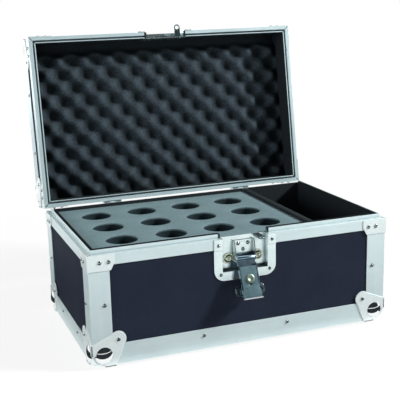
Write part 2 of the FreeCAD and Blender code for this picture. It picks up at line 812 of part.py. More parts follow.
def make_hinges():
    """Two stop hinges on the rear: base leaves with stop fingers, lid leaves and pins."""
    half, middle = hinge_width / 2, hinge_knuckle / 2
    axis = vec(0, hinge_y, hinge_z)
    base_parts = [prism_x(hinge_leaf(-1, base_rim_height), -half, half)]
    stop_y = half_depth + hinge_sheet + moving_gap
    for x0, x1 in ((-half, -middle - moving_gap), (middle + moving_gap, half)):
        base_parts.append(prism_x(hinge_arm(-1), x0, x1))
        base_parts.append(rod(vec(x0, hinge_y, hinge_z), X_AXIS, hinge_barrel_radius, x1 - x0))
        finger = block(x0, x1, stop_y, stop_y + hinge_stop_sheet, hinge_z, hinge_z + hinge_stop_length)
        base_parts.append(turned(finger, axis, X_AXIS, -lid_open_angle))
    lid_parts = [
        prism_x(hinge_leaf(1, lid_rim_height), -half, half),
        prism_x(hinge_arm(1), -middle, middle),
        rod(vec(-middle, hinge_y, hinge_z), X_AXIS, hinge_barrel_radius, hinge_knuckle),
    ]
    bore = rod(vec(-half, hinge_y, hinge_z), X_AXIS, hinge_pin_radius + pin_gap, hinge_width)
    base_leaf = joined(base_parts).cut(bore)
    lid_leaf = joined(lid_parts).cut(bore)
    pin = rod(vec(-half, hinge_y, hinge_z), X_AXIS, hinge_pin_radius, hinge_width)
    places = [vec(side * hinge_spacing / 2, 0, 0) for side in (-1, 1)]
    save("hinge_base_leaves", *[base_leaf.translated(place) for place in places])
    save("hinge_lid_leaves", *opened(*[lid_leaf.translated(place) for place in places]))
    save("hinge_pins", *[pin.translated(place) for place in places])


def make_handle():
    """The carrying handle on the lid's top: two brackets, a bent bail and a grip."""
    seat = lid_top_z - angle_wall
    pivot_z = seat + handle_pivot_height
    half = handle_span / 2
    boss_radius = handle_rod_radius + handle_boss_wall
    bracket_in = half - handle_stub
    boss_start = bracket_in + handle_boss_inset
    foot = block(
        bracket_in,
        bracket_in + handle_bracket_width,
        -handle_bracket_length / 2,
        handle_bracket_length / 2,
        seat,
        seat + handle_bracket_sheet,
    )
    boss_length = handle_bracket_width - 2 * handle_boss_inset
    web = block(boss_start, boss_start + boss_length, -boss_radius, boss_radius, seat, pivot_z)
    boss = rod(vec(boss_start, 0, pivot_z), X_AXIS, boss_radius, boss_length)
    bore = rod(vec(boss_start, 0, pivot_z), X_AXIS, handle_rod_radius + pin_gap, boss_length)
    bracket = joined([foot, web, boss]).cut(bore)
    save("handle_brackets", *opened(bracket, flipped(bracket, X_AXIS)))
    arm_x = boss_start - moving_gap - handle_rod_radius
    half_path = [(boss_start + boss_length, 0), (arm_x, 0), (arm_x, handle_drop)]
    path = half_path + [(-x, y) for x, y in reversed(half_path)]
    wire = Part.makePolygon([vec(x, y, pivot_z) for x, y in path])
    end = Part.makeCircle(handle_rod_radius, vec(path[0][0], 0, pivot_z), X_AXIS)
    mitred_corners = 1
    bail = wire.makePipeShell([Part.Wire(end)], True, False, mitred_corners)
    grip_foot = vec(-grip_length / 2, handle_drop, pivot_z)
    grip = rod(grip_foot, X_AXIS, grip_radius, grip_length)
    grip = grip.cut(rod(grip_foot, X_AXIS, handle_rod_radius + pin_gap, grip_length))
    pivot = vec(0, 0, pivot_z)
    drop_angle = lid_open_angle - 90
    save("handle_bail", *opened(turned(bail, pivot, X_AXIS, drop_angle)))
    save("handle_grip", *opened(turned(grip, pivot, X_AXIS, drop_angle)))


os.makedirs("parts", exist_ok=True)
make_base_box()
make_base_rims()
make_base_foam()
make_latch_bracket()
make_latch_leaf()
make_latch_claw()
make_butterfly()
make_wings()
make_lid_box()
make_lid_rims()
make_lid_foam()
make_lid_latch()
make_hinges()
make_handle()
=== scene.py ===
"""Dresses an aluminium-edged case for twelve microphones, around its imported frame.

Lengths are in millimetres until a piece is finished, and in metres after that. A piece of the
lid, the latch or the handle is shaped where it is when the case is shut, and is then swung to
the open place that the frame has at rest.
"""

import json
import logging
import math
from dataclasses import dataclass, field
from enum import Enum
from itertools import product
from typing import Any, Iterable, Optional, Sequence, Union

import bmesh
import bpy
from mathutils import Matrix, Vector

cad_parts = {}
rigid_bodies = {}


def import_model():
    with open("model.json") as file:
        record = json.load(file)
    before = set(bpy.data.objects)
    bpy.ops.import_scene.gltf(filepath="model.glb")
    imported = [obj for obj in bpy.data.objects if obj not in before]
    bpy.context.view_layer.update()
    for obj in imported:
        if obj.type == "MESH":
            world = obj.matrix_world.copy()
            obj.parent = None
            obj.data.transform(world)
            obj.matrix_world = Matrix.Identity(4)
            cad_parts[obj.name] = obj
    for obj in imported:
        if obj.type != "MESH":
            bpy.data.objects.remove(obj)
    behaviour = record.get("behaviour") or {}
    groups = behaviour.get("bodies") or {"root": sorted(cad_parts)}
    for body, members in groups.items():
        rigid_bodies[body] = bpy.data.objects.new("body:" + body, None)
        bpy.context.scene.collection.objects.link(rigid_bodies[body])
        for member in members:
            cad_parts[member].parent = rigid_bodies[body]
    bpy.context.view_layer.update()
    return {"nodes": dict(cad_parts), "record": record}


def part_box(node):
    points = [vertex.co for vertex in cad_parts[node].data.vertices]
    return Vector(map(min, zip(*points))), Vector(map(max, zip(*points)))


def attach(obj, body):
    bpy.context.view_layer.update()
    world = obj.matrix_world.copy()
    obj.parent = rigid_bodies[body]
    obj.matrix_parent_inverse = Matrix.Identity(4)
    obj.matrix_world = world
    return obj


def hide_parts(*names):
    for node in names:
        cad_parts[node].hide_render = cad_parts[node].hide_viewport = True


for leftover in list(bpy.data.objects):
    bpy.data.objects.remove(leftover)
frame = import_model()

LOG = logging.getLogger("case")
MM = 0.001
SIDES = (-1, 1)
AXES = {"X": Vector((1, 0, 0)), "Y": Vector((0, 1, 0)), "Z": Vector((0, 0, 1))}
STILL = Matrix.Identity(4)

Colour = tuple[float, float, float]
Point = tuple[float, float, float]
Span = tuple[float, float]
Outline = tuple[Span, ...]
Number = Union["Line", float]


def turn_about(point: Sequence[float], degrees: float) -> Matrix:
    """Turns about an axis along X.

    Args:
        point: A point on the axis.
        degrees: The angle.

    Returns:
        The matrix of the turn.
    """
    there = Matrix.Translation(Vector(point))
    return there @ Matrix.Rotation(math.radians(degrees), 4, "X") @ there.inverted()


@dataclass(frozen=True)
class CaseSizes:
    """Places on the case that several pieces share, with the lid and the latch shut."""

    half_width: float = 230.0
    half_depth: float = 137.5
    sill: float = 5.0
    shoulder: float = 165.0
    lid_low: float = 165.3
    lid_top: float = 231.3
    inner_x: float = 221.5
    inner_y: float = 129.0
    ceiling: float = 222.8
    panel_face: float = 136.0
    dish_back: float = 127.5
    lid_hinge: Point = (0.0, 142.8, 163.15)
    lid_open: float = 99.3
    latch_hinge: Point = (0.0, -136.5, 133.0)
    latch_hang: float = 156.0
    handle_pivot: Point = (0.0, 0.0, 240.8)
    handle_drop_turn: float = 9.3


SIZES = CaseSizes()


class Sit(Enum):
    """Which part of the case a piece belongs to, and so how it swings to its place at rest."""

    BASE = "base"
    LID = "lid"
    LATCH = "latch"
    HANDLE = "handle"

    def swing(self) -> Matrix:
        """Finds the move from shut to rest.

        Returns:
            The matrix of the move.
        """
        lid = turn_about(SIZES.lid_hinge, -SIZES.lid_open)
        return {
            Sit.BASE: Matrix.Identity(4),
            Sit.LID: lid,
            Sit.LATCH: turn_about(SIZES.latch_hinge, SIZES.latch_hang),
            Sit.HANDLE: lid @ turn_about(SIZES.handle_pivot, SIZES.handle_drop_turn),
        }[self]


class Line:
    """A value on its way between two shader nodes, on which sums are written as sums."""

    def __init__(self, paint: "Paint", socket: bpy.types.NodeSocket) -> None:
        """Keeps the nodes that it belongs to and the socket that it comes from."""
        self.paint = paint
        self.socket = socket

    def sum(self, operation: str, first: Number, second: Number) -> "Line":
        """Adds one Math node.

        Args:
            operation: The node's operation.
            first: Its first value.
            second: Its second value.

        Returns:
            What comes out of it.
        """
        return self.paint.node("ShaderNodeMath", {"operation": operation}, {0: first, 1: second})

    def __add__(self, other: Number) -> "Line":
        """This plus another."""
        return self.sum("ADD", self, other)

    def __radd__(self, other: Number) -> "Line":
        """Another plus this."""
        return self.sum("ADD", other, self)

    def __sub__(self, other: Number) -> "Line":
        """This less another."""
        return self.sum("SUBTRACT", self, other)

    def __rsub__(self, other: Number) -> "Line":
        """Another less this."""
        return self.sum("SUBTRACT", other, self)

    def __mul__(self, other: Number) -> "Line":
        """This times another."""
        return self.sum("MULTIPLY", self, other)

    def __rmul__(self, other: Number) -> "Line":
        """Another times this."""
        return self.sum("MULTIPLY", other, self)

    def __truediv__(self, other: Number) -> "Line":
        """This divided by another."""
        return self.sum("DIVIDE", self, other)

    def __rtruediv__(self, other: Number) -> "Line":
        """Another divided by this."""
        return self.sum("DIVIDE", other, self)

    def held(self) -> "Line":
        """This, kept between 0 and 1."""
        return self.sum("MINIMUM", self.sum("MAXIMUM", self, 0.0), 1.0)

    def ramp(self, start: float, span: float) -> "Line":
        """This, as 0 up to a start and 1 from a span beyond it."""
        return ((self - start) / span).held()


class Paint:
    """The nodes of one material or of the world."""

    def __init__(self, tree: bpy.types.NodeTree) -> None:
        """Starts from an empty tree."""
        self.tree = tree
        tree.nodes.clear()

    def node(
        self,
        kind: str,
        settings: Optional[dict[str, Any]] = None,
        sockets: Optional[dict[Union[str, int], Any]] = None,
        output: Union[str, int] = 0,
    ) -> Line:
        """Makes one node.

        Args:
            kind: The node's type.
            settings: Its own settings, set first.
            sockets: Values or lines for its inputs, by name or number.
            output: The output that is wanted.

        Returns:
            The line from that output.
        """
        made = self.tree.nodes.new(kind)
        for key, value in (settings or {}).items():
            setattr(made, key, value)
        for key, value in (sockets or {}).items():
            if isinstance(value, Line):
                self.tree.links.new(value.socket, made.inputs[key])
            else:
                made.inputs[key].default_value = value
        return Line(self, made.outputs[output] if made.outputs else None)

    def place(self, stretch: Sequence[float] = (1, 1, 1), tilt: float = 0.0) -> Line:
        """Where a point is on the object.

        Args:
            stretch: How much each direction counts.
            tilt: A turn about X before that, in degrees.

        Returns:
            The point as a vector.
        """
        point = self.node("ShaderNodeTexCoord", output="Object")
        if tilt:
            sockets = {"Vector": point, "Angle": math.radians(tilt)}
            point = self.node("ShaderNodeVectorRotate", {"rotation_type": "X_AXIS"}, sockets)
        return self.node("ShaderNodeVectorMath", {"operation": "MULTIPLY"}, {0: point, 1: stretch})

    def noise(self, point: Line, scale: float, detail: float = 2.0, rough: float = 0.5) -> Line:
        """Cloudy noise.

        Args:
            point: Where it is read.
            scale: How many clouds there are in a metre.
            detail: How many finer layers there are.
            rough: How strong the finer layers are.

        Returns:
            A value about one half.
        """
        sockets = {"Vector": point, "Scale": scale, "Detail": detail, "Roughness": rough}
        return self.node("ShaderNodeTexNoise", {"noise_dimensions": "3D"}, sockets, "Fac")

    def cells(self, point: Line, scale: float) -> Line:
        """Small rounded cells.

        Args:
            point: Where they are read.
            scale: How many cells there are in a metre.

        Returns:
            The distance from a cell's middle.
        """
        sockets = {"Vector": point, "Scale": scale}
        return self.node("ShaderNodeTexVoronoi", {"feature": "F1"}, sockets, "Distance")

    def mix(self, factor: Number, first: Union[Line, Colour], second: Union[Line, Colour]) -> Line:
        """Mixes two colours.

        Args:
            factor: How much of the second.
            first: The colour at 0.
            second: The colour at 1.

        Returns:
            The mixed colour.
        """
        shades = [x if isinstance(x, Line) else (*x, 1.0) for x in (first, second)]
        settings = {"data_type": "RGBA"}
        return self.node("ShaderNodeMix", settings, {0: factor, 6: shades[0], 7: shades[1]}, 2)

    def bump(self, height: Line, depth: float) -> Line:
        """Raises a surface.

        Args:
            height: The pattern.
            depth: Its depth in metres.

        Returns:
            The normal that shows it.
        """
        sockets = {"Height": height, "Distance": depth, "Strength": 1.0}
        return self.node("ShaderNodeBump", {}, sockets)

    def openness(self, reach: float, start: float, span: float) -> Line:
        """How open a surface is, from 0 deep in a seam to 1 in the open.

        Args:
            reach: How far, in metres, a neighbour counts.
            start: The free share of its view up to which it is shut in.
            span: How much more of it makes the surface open.

        Returns:
            The value.
        """
        free = self.node("ShaderNodeAmbientOcclusion", {"samples": 6}, {"Distance": reach}, "AO")
        return free.ramp(start, span)

    def surface(self, sockets: dict[str, Any]) -> None:
        """Ends in a plain surface with these sockets."""
        shader = self.node("ShaderNodeBsdfPrincipled", {}, sockets)
        self.node("ShaderNodeOutputMaterial", {}, {"Surface": shader})


def new_material(name: str) -> tuple[bpy.types.Material, Paint]:
    """Starts a material.

    Args:
        name: Its name.

    Returns:
        The material and its nodes.
    """
    material = bpy.data.materials.new(name)
    material.use_nodes = True
    return material, Paint(material.node_tree)


class Grain(Enum):
    """The way that drawn metal's streaks run."""

    ALONG = "along"
    ACROSS = "across"
    UPRIGHT = "upright"
    LID_ALONG = "lid_along"
    LID_ACROSS = "lid_across"
    LID_UPRIGHT = "lid_upright"

    def stretch(self, along: float, across: float) -> tuple[float, float, float]:
        """How much each direction counts for streaks.

        Args:
            along: Streaks in a metre along the grain.
            across: Streaks in a metre across it.

        Returns:
            One number for each direction.
        """
        if self in (Grain.ALONG, Grain.LID_ALONG):
            return (along, across, across)
        if self in (Grain.ACROSS, Grain.LID_ACROSS):
            return (across, along, across)
        return (across, across, along)

    def on_lid(self) -> bool:
        """Whether the bar is one of the lid's."""
        return self in (Grain.LID_ALONG, Grain.LID_ACROSS, Grain.LID_UPRIGHT)

    def tilt(self) -> float:
        """The turn that brings a lid piece's grain level, in degrees."""
        return SIZES.lid_open if self.on_lid() else 0.0


@dataclass(frozen=True)
class SatinAluminium:
    """Bright drawn aluminium with faint streaks along each bar, painted shade in its seams, and darker
    painted-shade colours on the lid's bars.
    """

    grain: Grain
    pale: Colour = (0.70, 0.825, 0.84)
    dull: Colour = (0.535, 0.66, 0.68)
    # Share of the colours kept on the lid's bars: painted shade, since the lid gets less light.
    lid_shade: Colour = (0.77, 0.82, 0.84)
    # Painted shade in seams and corners: its colour, how far a neighbour counts, and its ramp.
    seam_shade: Colour = (0.045, 0.065, 0.075)
    seam_shade_reach: float = 0.004
    seam_shade_span: Span = (0.25, 0.45)
    broad_streaks: Span = (6.0, 260.0)
    fine_streaks: Span = (14.0, 1500.0)
    stain_scale: float = 26.0
    metallic: float = 0.35
    roughness: float = 0.40
    streak_depth: float = 0.00003

    def make(self) -> bpy.types.Material:
        """Makes the material.

        Returns:
            The material.
        """
        material, paint = new_material("satin_aluminium_" + self.grain.value)
        tilt = self.grain.tilt()
        broad = paint.noise(paint.place(self.grain.stretch(*self.broad_streaks), tilt), 1.0)
        fine = paint.noise(paint.place(self.grain.stretch(*self.fine_streaks), tilt), 1.0)
        stains = paint.noise(paint.place(), self.stain_scale, 4.0, 0.6)
        streaks = (0.5 * broad + 0.5 * fine).held()
        tone = (0.6 * streaks + 0.7 * stains - 0.1).held()
        # Painted shade: the colour goes dark where ambient occlusion finds the surface shut in.
        unshaded = paint.openness(self.seam_shade_reach, *self.seam_shade_span)
        # Painted shade: the lid's bars take darker copies of the same colours.
        share = Vector(self.lid_shade if self.grain.on_lid() else (1.0, 1.0, 1.0))
        dull, pale = (tuple(share * Vector(shade)) for shade in (self.dull, self.pale))
        paint.surface(
            {
                "Base Color": paint.mix(unshaded, self.seam_shade, paint.mix(tone, dull, pale)),
                "Metallic": self.metallic,
                "Roughness": self.roughness + 0.22 * (streaks - 0.5) + 0.12 * (stains - 0.5),
                "Normal": paint.bump(fine, self.streak_depth),
            }
        )
        return material


@dataclass(frozen=True)
class PlatedSteel:
    """Pressed or turned steel with a thin plated skin."""

    name: str
    pale: Colour
    dull: Colour
    roughness: float
    cloud_share: float = 0.10
    metallic: float = 1.0
    cloud_scale: float = 70.0
    speck_scale: float = 900.0
    speck_depth: float = 0.00001

    def make(self) -> bpy.types.Material:
        """Makes the material.

        Returns:
            The material.
        """
        material, paint = new_material(self.name)
        point = paint.place()
        clouds = paint.noise(point, self.cloud_scale, 4.0, 0.6)
        specks = paint.noise(point, self.speck_scale, 2.0)
        tone = (1.6 * clouds + 0.5 * specks - 0.55).held()
        paint.surface(
            {
                "Base Color": self.skin(paint, tone),
                "Metallic": self.metallic,
                "Roughness": (self.roughness + self.cloud_share * (clouds + specks - 1.0)).held(),
                "Normal": paint.bump(specks, self.speck_depth),
            }
        )
        return material

    def skin(self, paint: Paint, tone: Line) -> Line:
        """The plating's colour where it is whole."""
        return paint.mix(tone, self.dull, self.pale)


@dataclass(frozen=True)
class SeamedSteel(PlatedSteel):
    """Plated steel of the recessed dishes, with painted shade in their inner corners."""

    seam_shade: Colour = (0.05, 0.07, 0.08)
    seam_shade_reach: float = 0.010
    seam_shade_span: Span = (0.28, 0.5)

    def skin(self, paint: Paint, tone: Line) -> Line:
        """The plating's colour, with painted shade where the dish is deep."""
        # Painted shade: darker where ambient occlusion finds the dish shut in.
        unshaded = paint.openness(self.seam_shade_reach, *self.seam_shade_span)
        return paint.mix(unshaded, self.seam_shade, super().skin(paint, tone))


@dataclass(frozen=True)
class HighlitSteel(PlatedSteel):
    """Plated steel of the hanging latch, with a painted highlight at its end."""

    rubbed: Colour = (0.95, 0.97, 0.97)
    highlight_from: float = 58.2
    highlight_over: float = 0.5

    def skin(self, paint: Paint, tone: Line) -> Line:
        """The plating's colour, giving way to a painted highlight past a line across the latch.

        Args:
            paint: The material's nodes.
            tone: How pale the plating is.

        Returns:
            The colour.
        """
        down = Sit.LATCH.swing().to_3x3() @ AXES["Z"]
        start = down.dot(Vector(SIZES.latch_hinge)) + self.highlight_from
        sockets = {0: paint.place(), 1: down}
        along = paint.node("ShaderNodeVectorMath", {"operation": "DOT_PRODUCT"}, sockets, "Value")
        # Painted highlight on the claw's end, past the line.
        rubbed = along.ramp(start * MM, self.highlight_over * MM)
        return paint.mix(rubbed, super().skin(paint, tone), self.rubbed)


@dataclass(frozen=True)
class DarkLaminate:
    """Dark blue laminate on board, with a fine pebbled grain."""

    deep: Colour = (0.0124, 0.0170, 0.0295)
    pale: Colour = (0.0196, 0.0262, 0.0445)
    pebble_scale: float = 620.0
    pebble_depth: float = 0.00012
    cloud_scale: float = 24.0
    dust_scale: float = 420.0
    roughness: float = 0.58
    gloss: float = 0.03

    def make(self) -> bpy.types.Material:
        """Makes the material.

        Returns:
            The material.
        """
        material, paint = new_material("dark_laminate")
        point = paint.place()
        pebbles = paint.cells(point, self.pebble_scale)
        clouds = paint.noise(point, self.cloud_scale, 4.0, 0.6)
        dust = paint.noise(point, self.dust_scale, 3.0, 0.7)
        tone = (0.9 * clouds + 0.5 * dust - 0.2).held()
        paint.surface(
            {
                "Base Color": paint.mix(tone, self.deep, self.pale),
                "Roughness": (self.roughness + 0.2 * (clouds - 0.5) + 0.1 * pebbles).held(),
                "Specular IOR Level": self.gloss,
                "Normal": paint.bump(pebbles, self.pebble_depth),
            }
        )
        return material


@dataclass(frozen=True)
class CutFoam:
    """Grey closed-cell foam with saw streaks on its top and painted shade on its drilled walls."""

    top: float
    pale: Colour = (0.222, 0.330, 0.354)
    dull: Colour = (0.129, 0.199, 0.216)
    # Painted shade down the drilled walls: its colour, where it starts below the top and how deep it ramps
    # in.
    wall: Colour = (0.014, 0.027, 0.034)
    hole_shade_start: float = 0.0004
    hole_shade_depth: float = 0.003
    saw_streaks: Point = (30.0, 900.0, 900.0)
    pore_scale: float = 1100.0
    grain_scale: float = 330.0
    cloud_scale: float = 30.0
    skin_depth: float = 0.0004
    roughness: float = 0.86
    gloss: float = 0.15

    def make(self) -> bpy.types.Material:
        """Makes the material.

        Returns:
            The material.
        """
        material, paint = new_material("cut_grey_foam")
        point = paint.place()
        streaks = paint.noise(paint.place(self.saw_streaks), 1.0, 3.0, 0.6)
        pores = paint.cells(point, self.pore_scale)
        grains = paint.noise(point, self.grain_scale, 3.0, 0.8)
        clouds = paint.noise(point, self.cloud_scale, 3.0)
        tone = (1.2 * streaks + 2.4 * grains + 0.4 * clouds - 1.5).held()
        height = paint.node("ShaderNodeSeparateXYZ", {}, {0: point}, "Z")
        # Painted shade: the hole walls turn dark below the top.
        depth = ((self.top - self.hole_shade_start - height) / self.hole_shade_depth).held()
        skin = paint.mix(tone, self.dull, self.pale)
        paint.surface(
            {
                "Base Color": paint.mix(depth, skin, self.wall),
                "Roughness": (self.roughness + 0.2 * (grains - 0.5)).held(),
                "Specular IOR Level": self.gloss,
                "Normal": paint.bump(0.5 * pores + 0.5 * streaks, self.skin_depth),
            }
        )
        return material


@dataclass(frozen=True)
class BlackFoam:
    """Open-cell foam with painted shade, almost black in its valleys and greyer on its crests."""

    name: str
    # Crest and valley colours, mixed by painted shade; the reach and ramp set its ambient-occlusion part.
    crest: Colour = (0.045, 0.063, 0.078)
    valley: Colour = (0.0105, 0.016, 0.0185)
    shade_reach: float = 0.040
    shade_span: Span = (0.38, 0.32)
    pore_scale: float = 900.0
    grain_scale: float = 1300.0
    fleck_scale: float = 300.0
    cloud_scale: float = 45.0
    skin_depth: float = 0.0007
    roughness: float = 0.92
    gloss: float = 0.12

    def make(self) -> bpy.types.Material:
        """Makes the material.

        Returns:
            The material.
        """
        material, paint = new_material(self.name)
        point = paint.place()
        pores = paint.cells(point, self.pore_scale)
        grains = paint.noise(point, self.grain_scale, 3.0, 0.7)
        flecks = paint.noise(point, self.fleck_scale, 2.0, 0.7)
        clouds = paint.noise(point, self.cloud_scale, 3.0)
        rise = paint.node("ShaderNodeAttribute", {"attribute_name": "rise"}, {}, "Fac")
        # Painted shade: darker down the bumps by their rise, and where ambient occlusion finds the foam
        # shut in.
        shade = (0.3 + 0.7 * rise) * paint.openness(self.shade_reach, *self.shade_span)
        speckle = 0.45 * (grains - 0.5) + 2.6 * (flecks - 0.5)
        tone = (shade * (0.75 + 0.5 * clouds + speckle)).held()
        paint.surface(
            {
                "Base Color": paint.mix(tone, self.valley, self.crest),
                "Roughness": (self.roughness + 0.12 * (grains - 0.5)).held(),
                "Specular IOR Level": self.gloss,
                "Normal": paint.bump(0.6 * pores + 0.4 * grains, self.skin_depth),
            }
        )
        return material


@dataclass(frozen=True)
class FeltBoard:
    """Board or foam with a dark felted skin."""

    name: str
    pale: Colour = (0.026, 0.035, 0.041)
    deep: Colour = (0.010, 0.0135, 0.016)
    hair_counts: Point = (240.0, 1300.0, 700.0)
    tuft_scale: float = 160.0
    nap_depth: float = 0.0004
    roughness: float = 0.9
    gloss: float = 0.15

    def make(self) -> bpy.types.Material:
        """Makes the material.

        Returns:
            The material.
        """
        material, paint = new_material(self.name)
        hairs = paint.noise(paint.place(self.hair_counts), 1.0, 3.0, 0.7)
        tufts = paint.noise(paint.place(), self.tuft_scale, 4.0, 0.7)
        tone = (0.9 * hairs + 0.6 * tufts - 0.3).held()
        paint.surface(
            {
                "Base Color": paint.mix(tone, self.deep, self.pale),
                "Roughness": (self.roughness + 0.15 * (tufts - 0.5)).held(),
                "Specular IOR Level": self.gloss,
                "Normal": paint.bump(hairs, self.nap_depth),
            }
        )
        return material


@dataclass(frozen=True)
class BlackRubber:
    """Moulded black rubber with a stippled skin."""

    pale: Colour = (0.030, 0.030, 0.032)
    deep: Colour = (0.012, 0.012, 0.013)
    stipple_scale: float = 1400.0
    stipple_depth: float = 0.00015
    scuff_scale: float = 90.0
    roughness: float = 0.55
    gloss: float = 0.35

    def make(self) -> bpy.types.Material:
        """Makes the material.

        Returns:
            The material.
        """
        material, paint = new_material("black_rubber")
        stipple = paint.cells(paint.place(), self.stipple_scale)
        scuffs = paint.noise(paint.place(), self.scuff_scale, 4.0, 0.7)
        paint.surface(
            {
                "Base Color": paint.mix((1.4 * scuffs - 0.2).held(), self.deep, self.pale),
                "Roughness": (self.roughness + 0.3 * (scuffs - 0.5)).held(),
                "Specular IOR Level": self.gloss,
                "Normal": paint.bump(stipple, self.stipple_depth),
            }
        )
        return material


@dataclass(frozen=True)
class StudioPaper:
    """White paper that stays white for the eye and keeps a soft shadow."""

    white: float = 0.96
    mottle: float = 0.01
    mottle_scale: float = 3.0
    glow_share: float = 0.86
    glow_start: float = 0.45
    glow_length: float = 0.5
    fade_start: float = 2.2
    fade_length: float = 1.4

    def make(self) -> bpy.types.Material:
        """Makes the material.

        Returns:
            The material.
        """
        material, paint = new_material("studio_paper")
        flat = paint.place((1, 1, 0))
        away = paint.node("ShaderNodeVectorMath", {"operation": "LENGTH"}, {0: flat}, "Value")
        clouds = paint.noise(paint.place(), self.mottle_scale, 2.0)
        shade = paint.mix(clouds, (self.white - self.mottle,) * 3, (self.white + self.mottle,) * 3)
        paper = paint.node("ShaderNodeBsdfDiffuse", {}, {"Color": shade})
        glow = paint.node("ShaderNodeEmission", {}, {"Color": (1, 1, 1, 1), "Strength": 1.0})
        beyond = away.ramp(self.glow_start, self.glow_length)
        share = self.glow_share + (1.0 - self.glow_share) * beyond
        lit = paint.node("ShaderNodeMixShader", {}, {0: seen_ray(paint) * share, 1: paper, 2: glow})
        gone = paint.node("ShaderNodeBsdfTransparent")
        fade = away.ramp(self.fade_start, self.fade_length)
        mixed = paint.node("ShaderNodeMixShader", {}, {0: fade, 1: lit, 2: gone})
        paint.node("ShaderNodeOutputMaterial", {}, {"Surface": mixed})
        return material


@dataclass(frozen=True)
class DimCloth:
    """Dark cloth that hangs in the studio to be seen in the bright metal; it also makes the painted shadow
    on the floor round the case, seen only in reflections.
    """

    deep: Colour = (0.004, 0.007, 0.009)
    pale: Colour = (0.040, 0.050, 0.056)
    fold_scale: float = 0.8

    def make(self) -> bpy.types.Material:
        """Makes the material.

        Returns:
            The material.
        """
        material, paint = new_material("dim_cloth")
        shade = paint.mix(paint.noise(paint.place(), self.fold_scale), self.deep, self.pale)
        glow = paint.node("ShaderNodeEmission", {}, {"Color": shade, "Strength": 1.0})
        paint.node("ShaderNodeOutputMaterial", {}, {"Surface": glow})
        return material


def seen_ray(paint: Paint) -> Line:
    """Tells what is seen from stray light.

    Args:
        paint: The nodes that it joins.

    Returns:
        A value that is 1 for what the eye, a reflection or a glass sees, and 0 for the rest.
    """
    names = ("Is Camera Ray", "Is Glossy Ray", "Is Transmission Ray")
    camera, glossy, through = [paint.node("ShaderNodeLightPath", output=name) for name in names]
    return (camera + glossy + through).held()


class Finishes:
    """Every finish of the case, made once."""

    def __init__(self) -> None:
        """Makes the materials."""
        bright = PlatedSteel("bright_plate", (0.93, 0.945, 0.945), (0.86, 0.885, 0.885), 0.08, 0.05)
        corner = PlatedSteel("corner_plate", (0.85, 0.945, 0.945), (0.78, 0.87, 0.87), 0.36, 0.10, 0.35)
        brace = PlatedSteel("brace_plate", (0.79, 0.89, 0.89), (0.68, 0.775, 0.78), 0.32, 0.10, 0.45)
        pan = SeamedSteel("dish_plate", (0.80, 0.93, 0.935), (0.66, 0.78, 0.79), 0.15, 0.08, 0.9)
        latch = PlatedSteel("latch_plate", (0.34, 0.45, 0.47), (0.14, 0.205, 0.225), 0.26)
        leaf = PlatedSteel("leaf_plate", (0.43, 0.61, 0.72), (0.14, 0.22, 0.28), 0.24)
        claw = HighlitSteel("claw_plate", (0.22, 0.355, 0.40), (0.115, 0.205, 0.24), 0.30, 0.10, 0.7)
        rivet = PlatedSteel("rivet_plate", (0.44, 0.49, 0.50), (0.28, 0.33, 0.34), 0.08, 0.05)
        bolt = PlatedSteel("bolt_plate", (0.70, 0.76, 0.62), (0.30, 0.36, 0.27), 0.16, 0.12)
        guide = PlatedSteel("guide_plate", (0.23, 0.30, 0.25), (0.09, 0.125, 0.105), 0.36, 0.12, 0.6)
        self.bars = {grain: SatinAluminium(grain).make() for grain in Grain}
        self.bright = bright.make()
        self.corner = corner.make()
        self.brace = brace.make()
        self.pan = pan.make()
        self.latch = latch.make()
        self.leaf = leaf.make()
        self.claw = claw.make()
        self.rivet = rivet.make()
        self.bolt = bolt.make()
        self.guide = guide.make()
        self.laminate = DarkLaminate().make()
        self.block = CutFoam(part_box("foam_block")[1].z).make()
        self.crates = BlackFoam("egg_crate_foam").make()
        self.pads = BlackFoam("pad_foam").make()
        self.felt = FeltBoard("felted_board").make()
        self.lining = FeltBoard("black_lining", (0.022, 0.030, 0.036), (0.009, 0.0125, 0.015)).make()
        self.rubber = BlackRubber().make()
        self.paper = StudioPaper().make()
        self.dim = DimCloth().make()

    def bar(self, node: str) -> bpy.types.Material:
        """Aluminium whose streaks follow a bar.

        Args:
            node: The frame node's name.

        Returns:
            The material.
        """
        # The lid's bars get their own copies, which carry painted shade.
        on_lid = node.startswith("lid")
        if node.endswith("posts"):
            return self.bars[Grain.LID_UPRIGHT if on_lid else Grain.UPRIGHT]
        if "_left_" in node or "_right_" in node:
            return self.bars[Grain.LID_ACROSS if on_lid else Grain.ACROSS]
        return self.bars[Grain.LID_ALONG if on_lid else Grain.ALONG]

    def of_slot(self, slot: str, node: str) -> bpy.types.Material:
        """The finish of a frame node.

        Args:
            slot: The node's material slot.
            node: Its name.

        Returns:
            The material.
        """
        if slot == "aluminium":
            return self.bar(node)
        own = {
            "latch_bracket": self.pan,
            "hinge_base_leaves": self.pan,
            "hinge_lid_leaves": self.pan,
            "handle_brackets": self.pan,
            "latch_leaf": self.leaf,
            "latch_claw": self.claw,
        }
        shared = {
            "laminate": self.laminate,
            "chrome": self.bright,
            "brace_steel": self.brace,
            "dish_steel": self.pan,
            "latch_steel": self.latch,
            "grey_foam": self.block,
            "black_foam": self.pads,
            "divider_board": self.felt,
            "grip": self.rubber,
        }
        return own[node] if node in own else shared[slot]


class Crease(Enum):
    """The angle, in degrees, above which an edge of a piece stays crisp."""

    FLAT = 20.0
    BOARD = 30.0
    PLAIN = 40.0
    TURNED = 50.0
    DOMED = 60.0


def only(kind: type, geometry: Iterable[Any]) -> list[Any]:
    """Picks the vertices or the edges out of what an operator made."""
    return [item for item in geometry if isinstance(item, kind)]


def node_box(node: str) -> tuple[Vector, Vector]:
    """The lowest and highest corners of a frame node, in millimetres."""
    low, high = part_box(node)
    return low / MM, high / MM


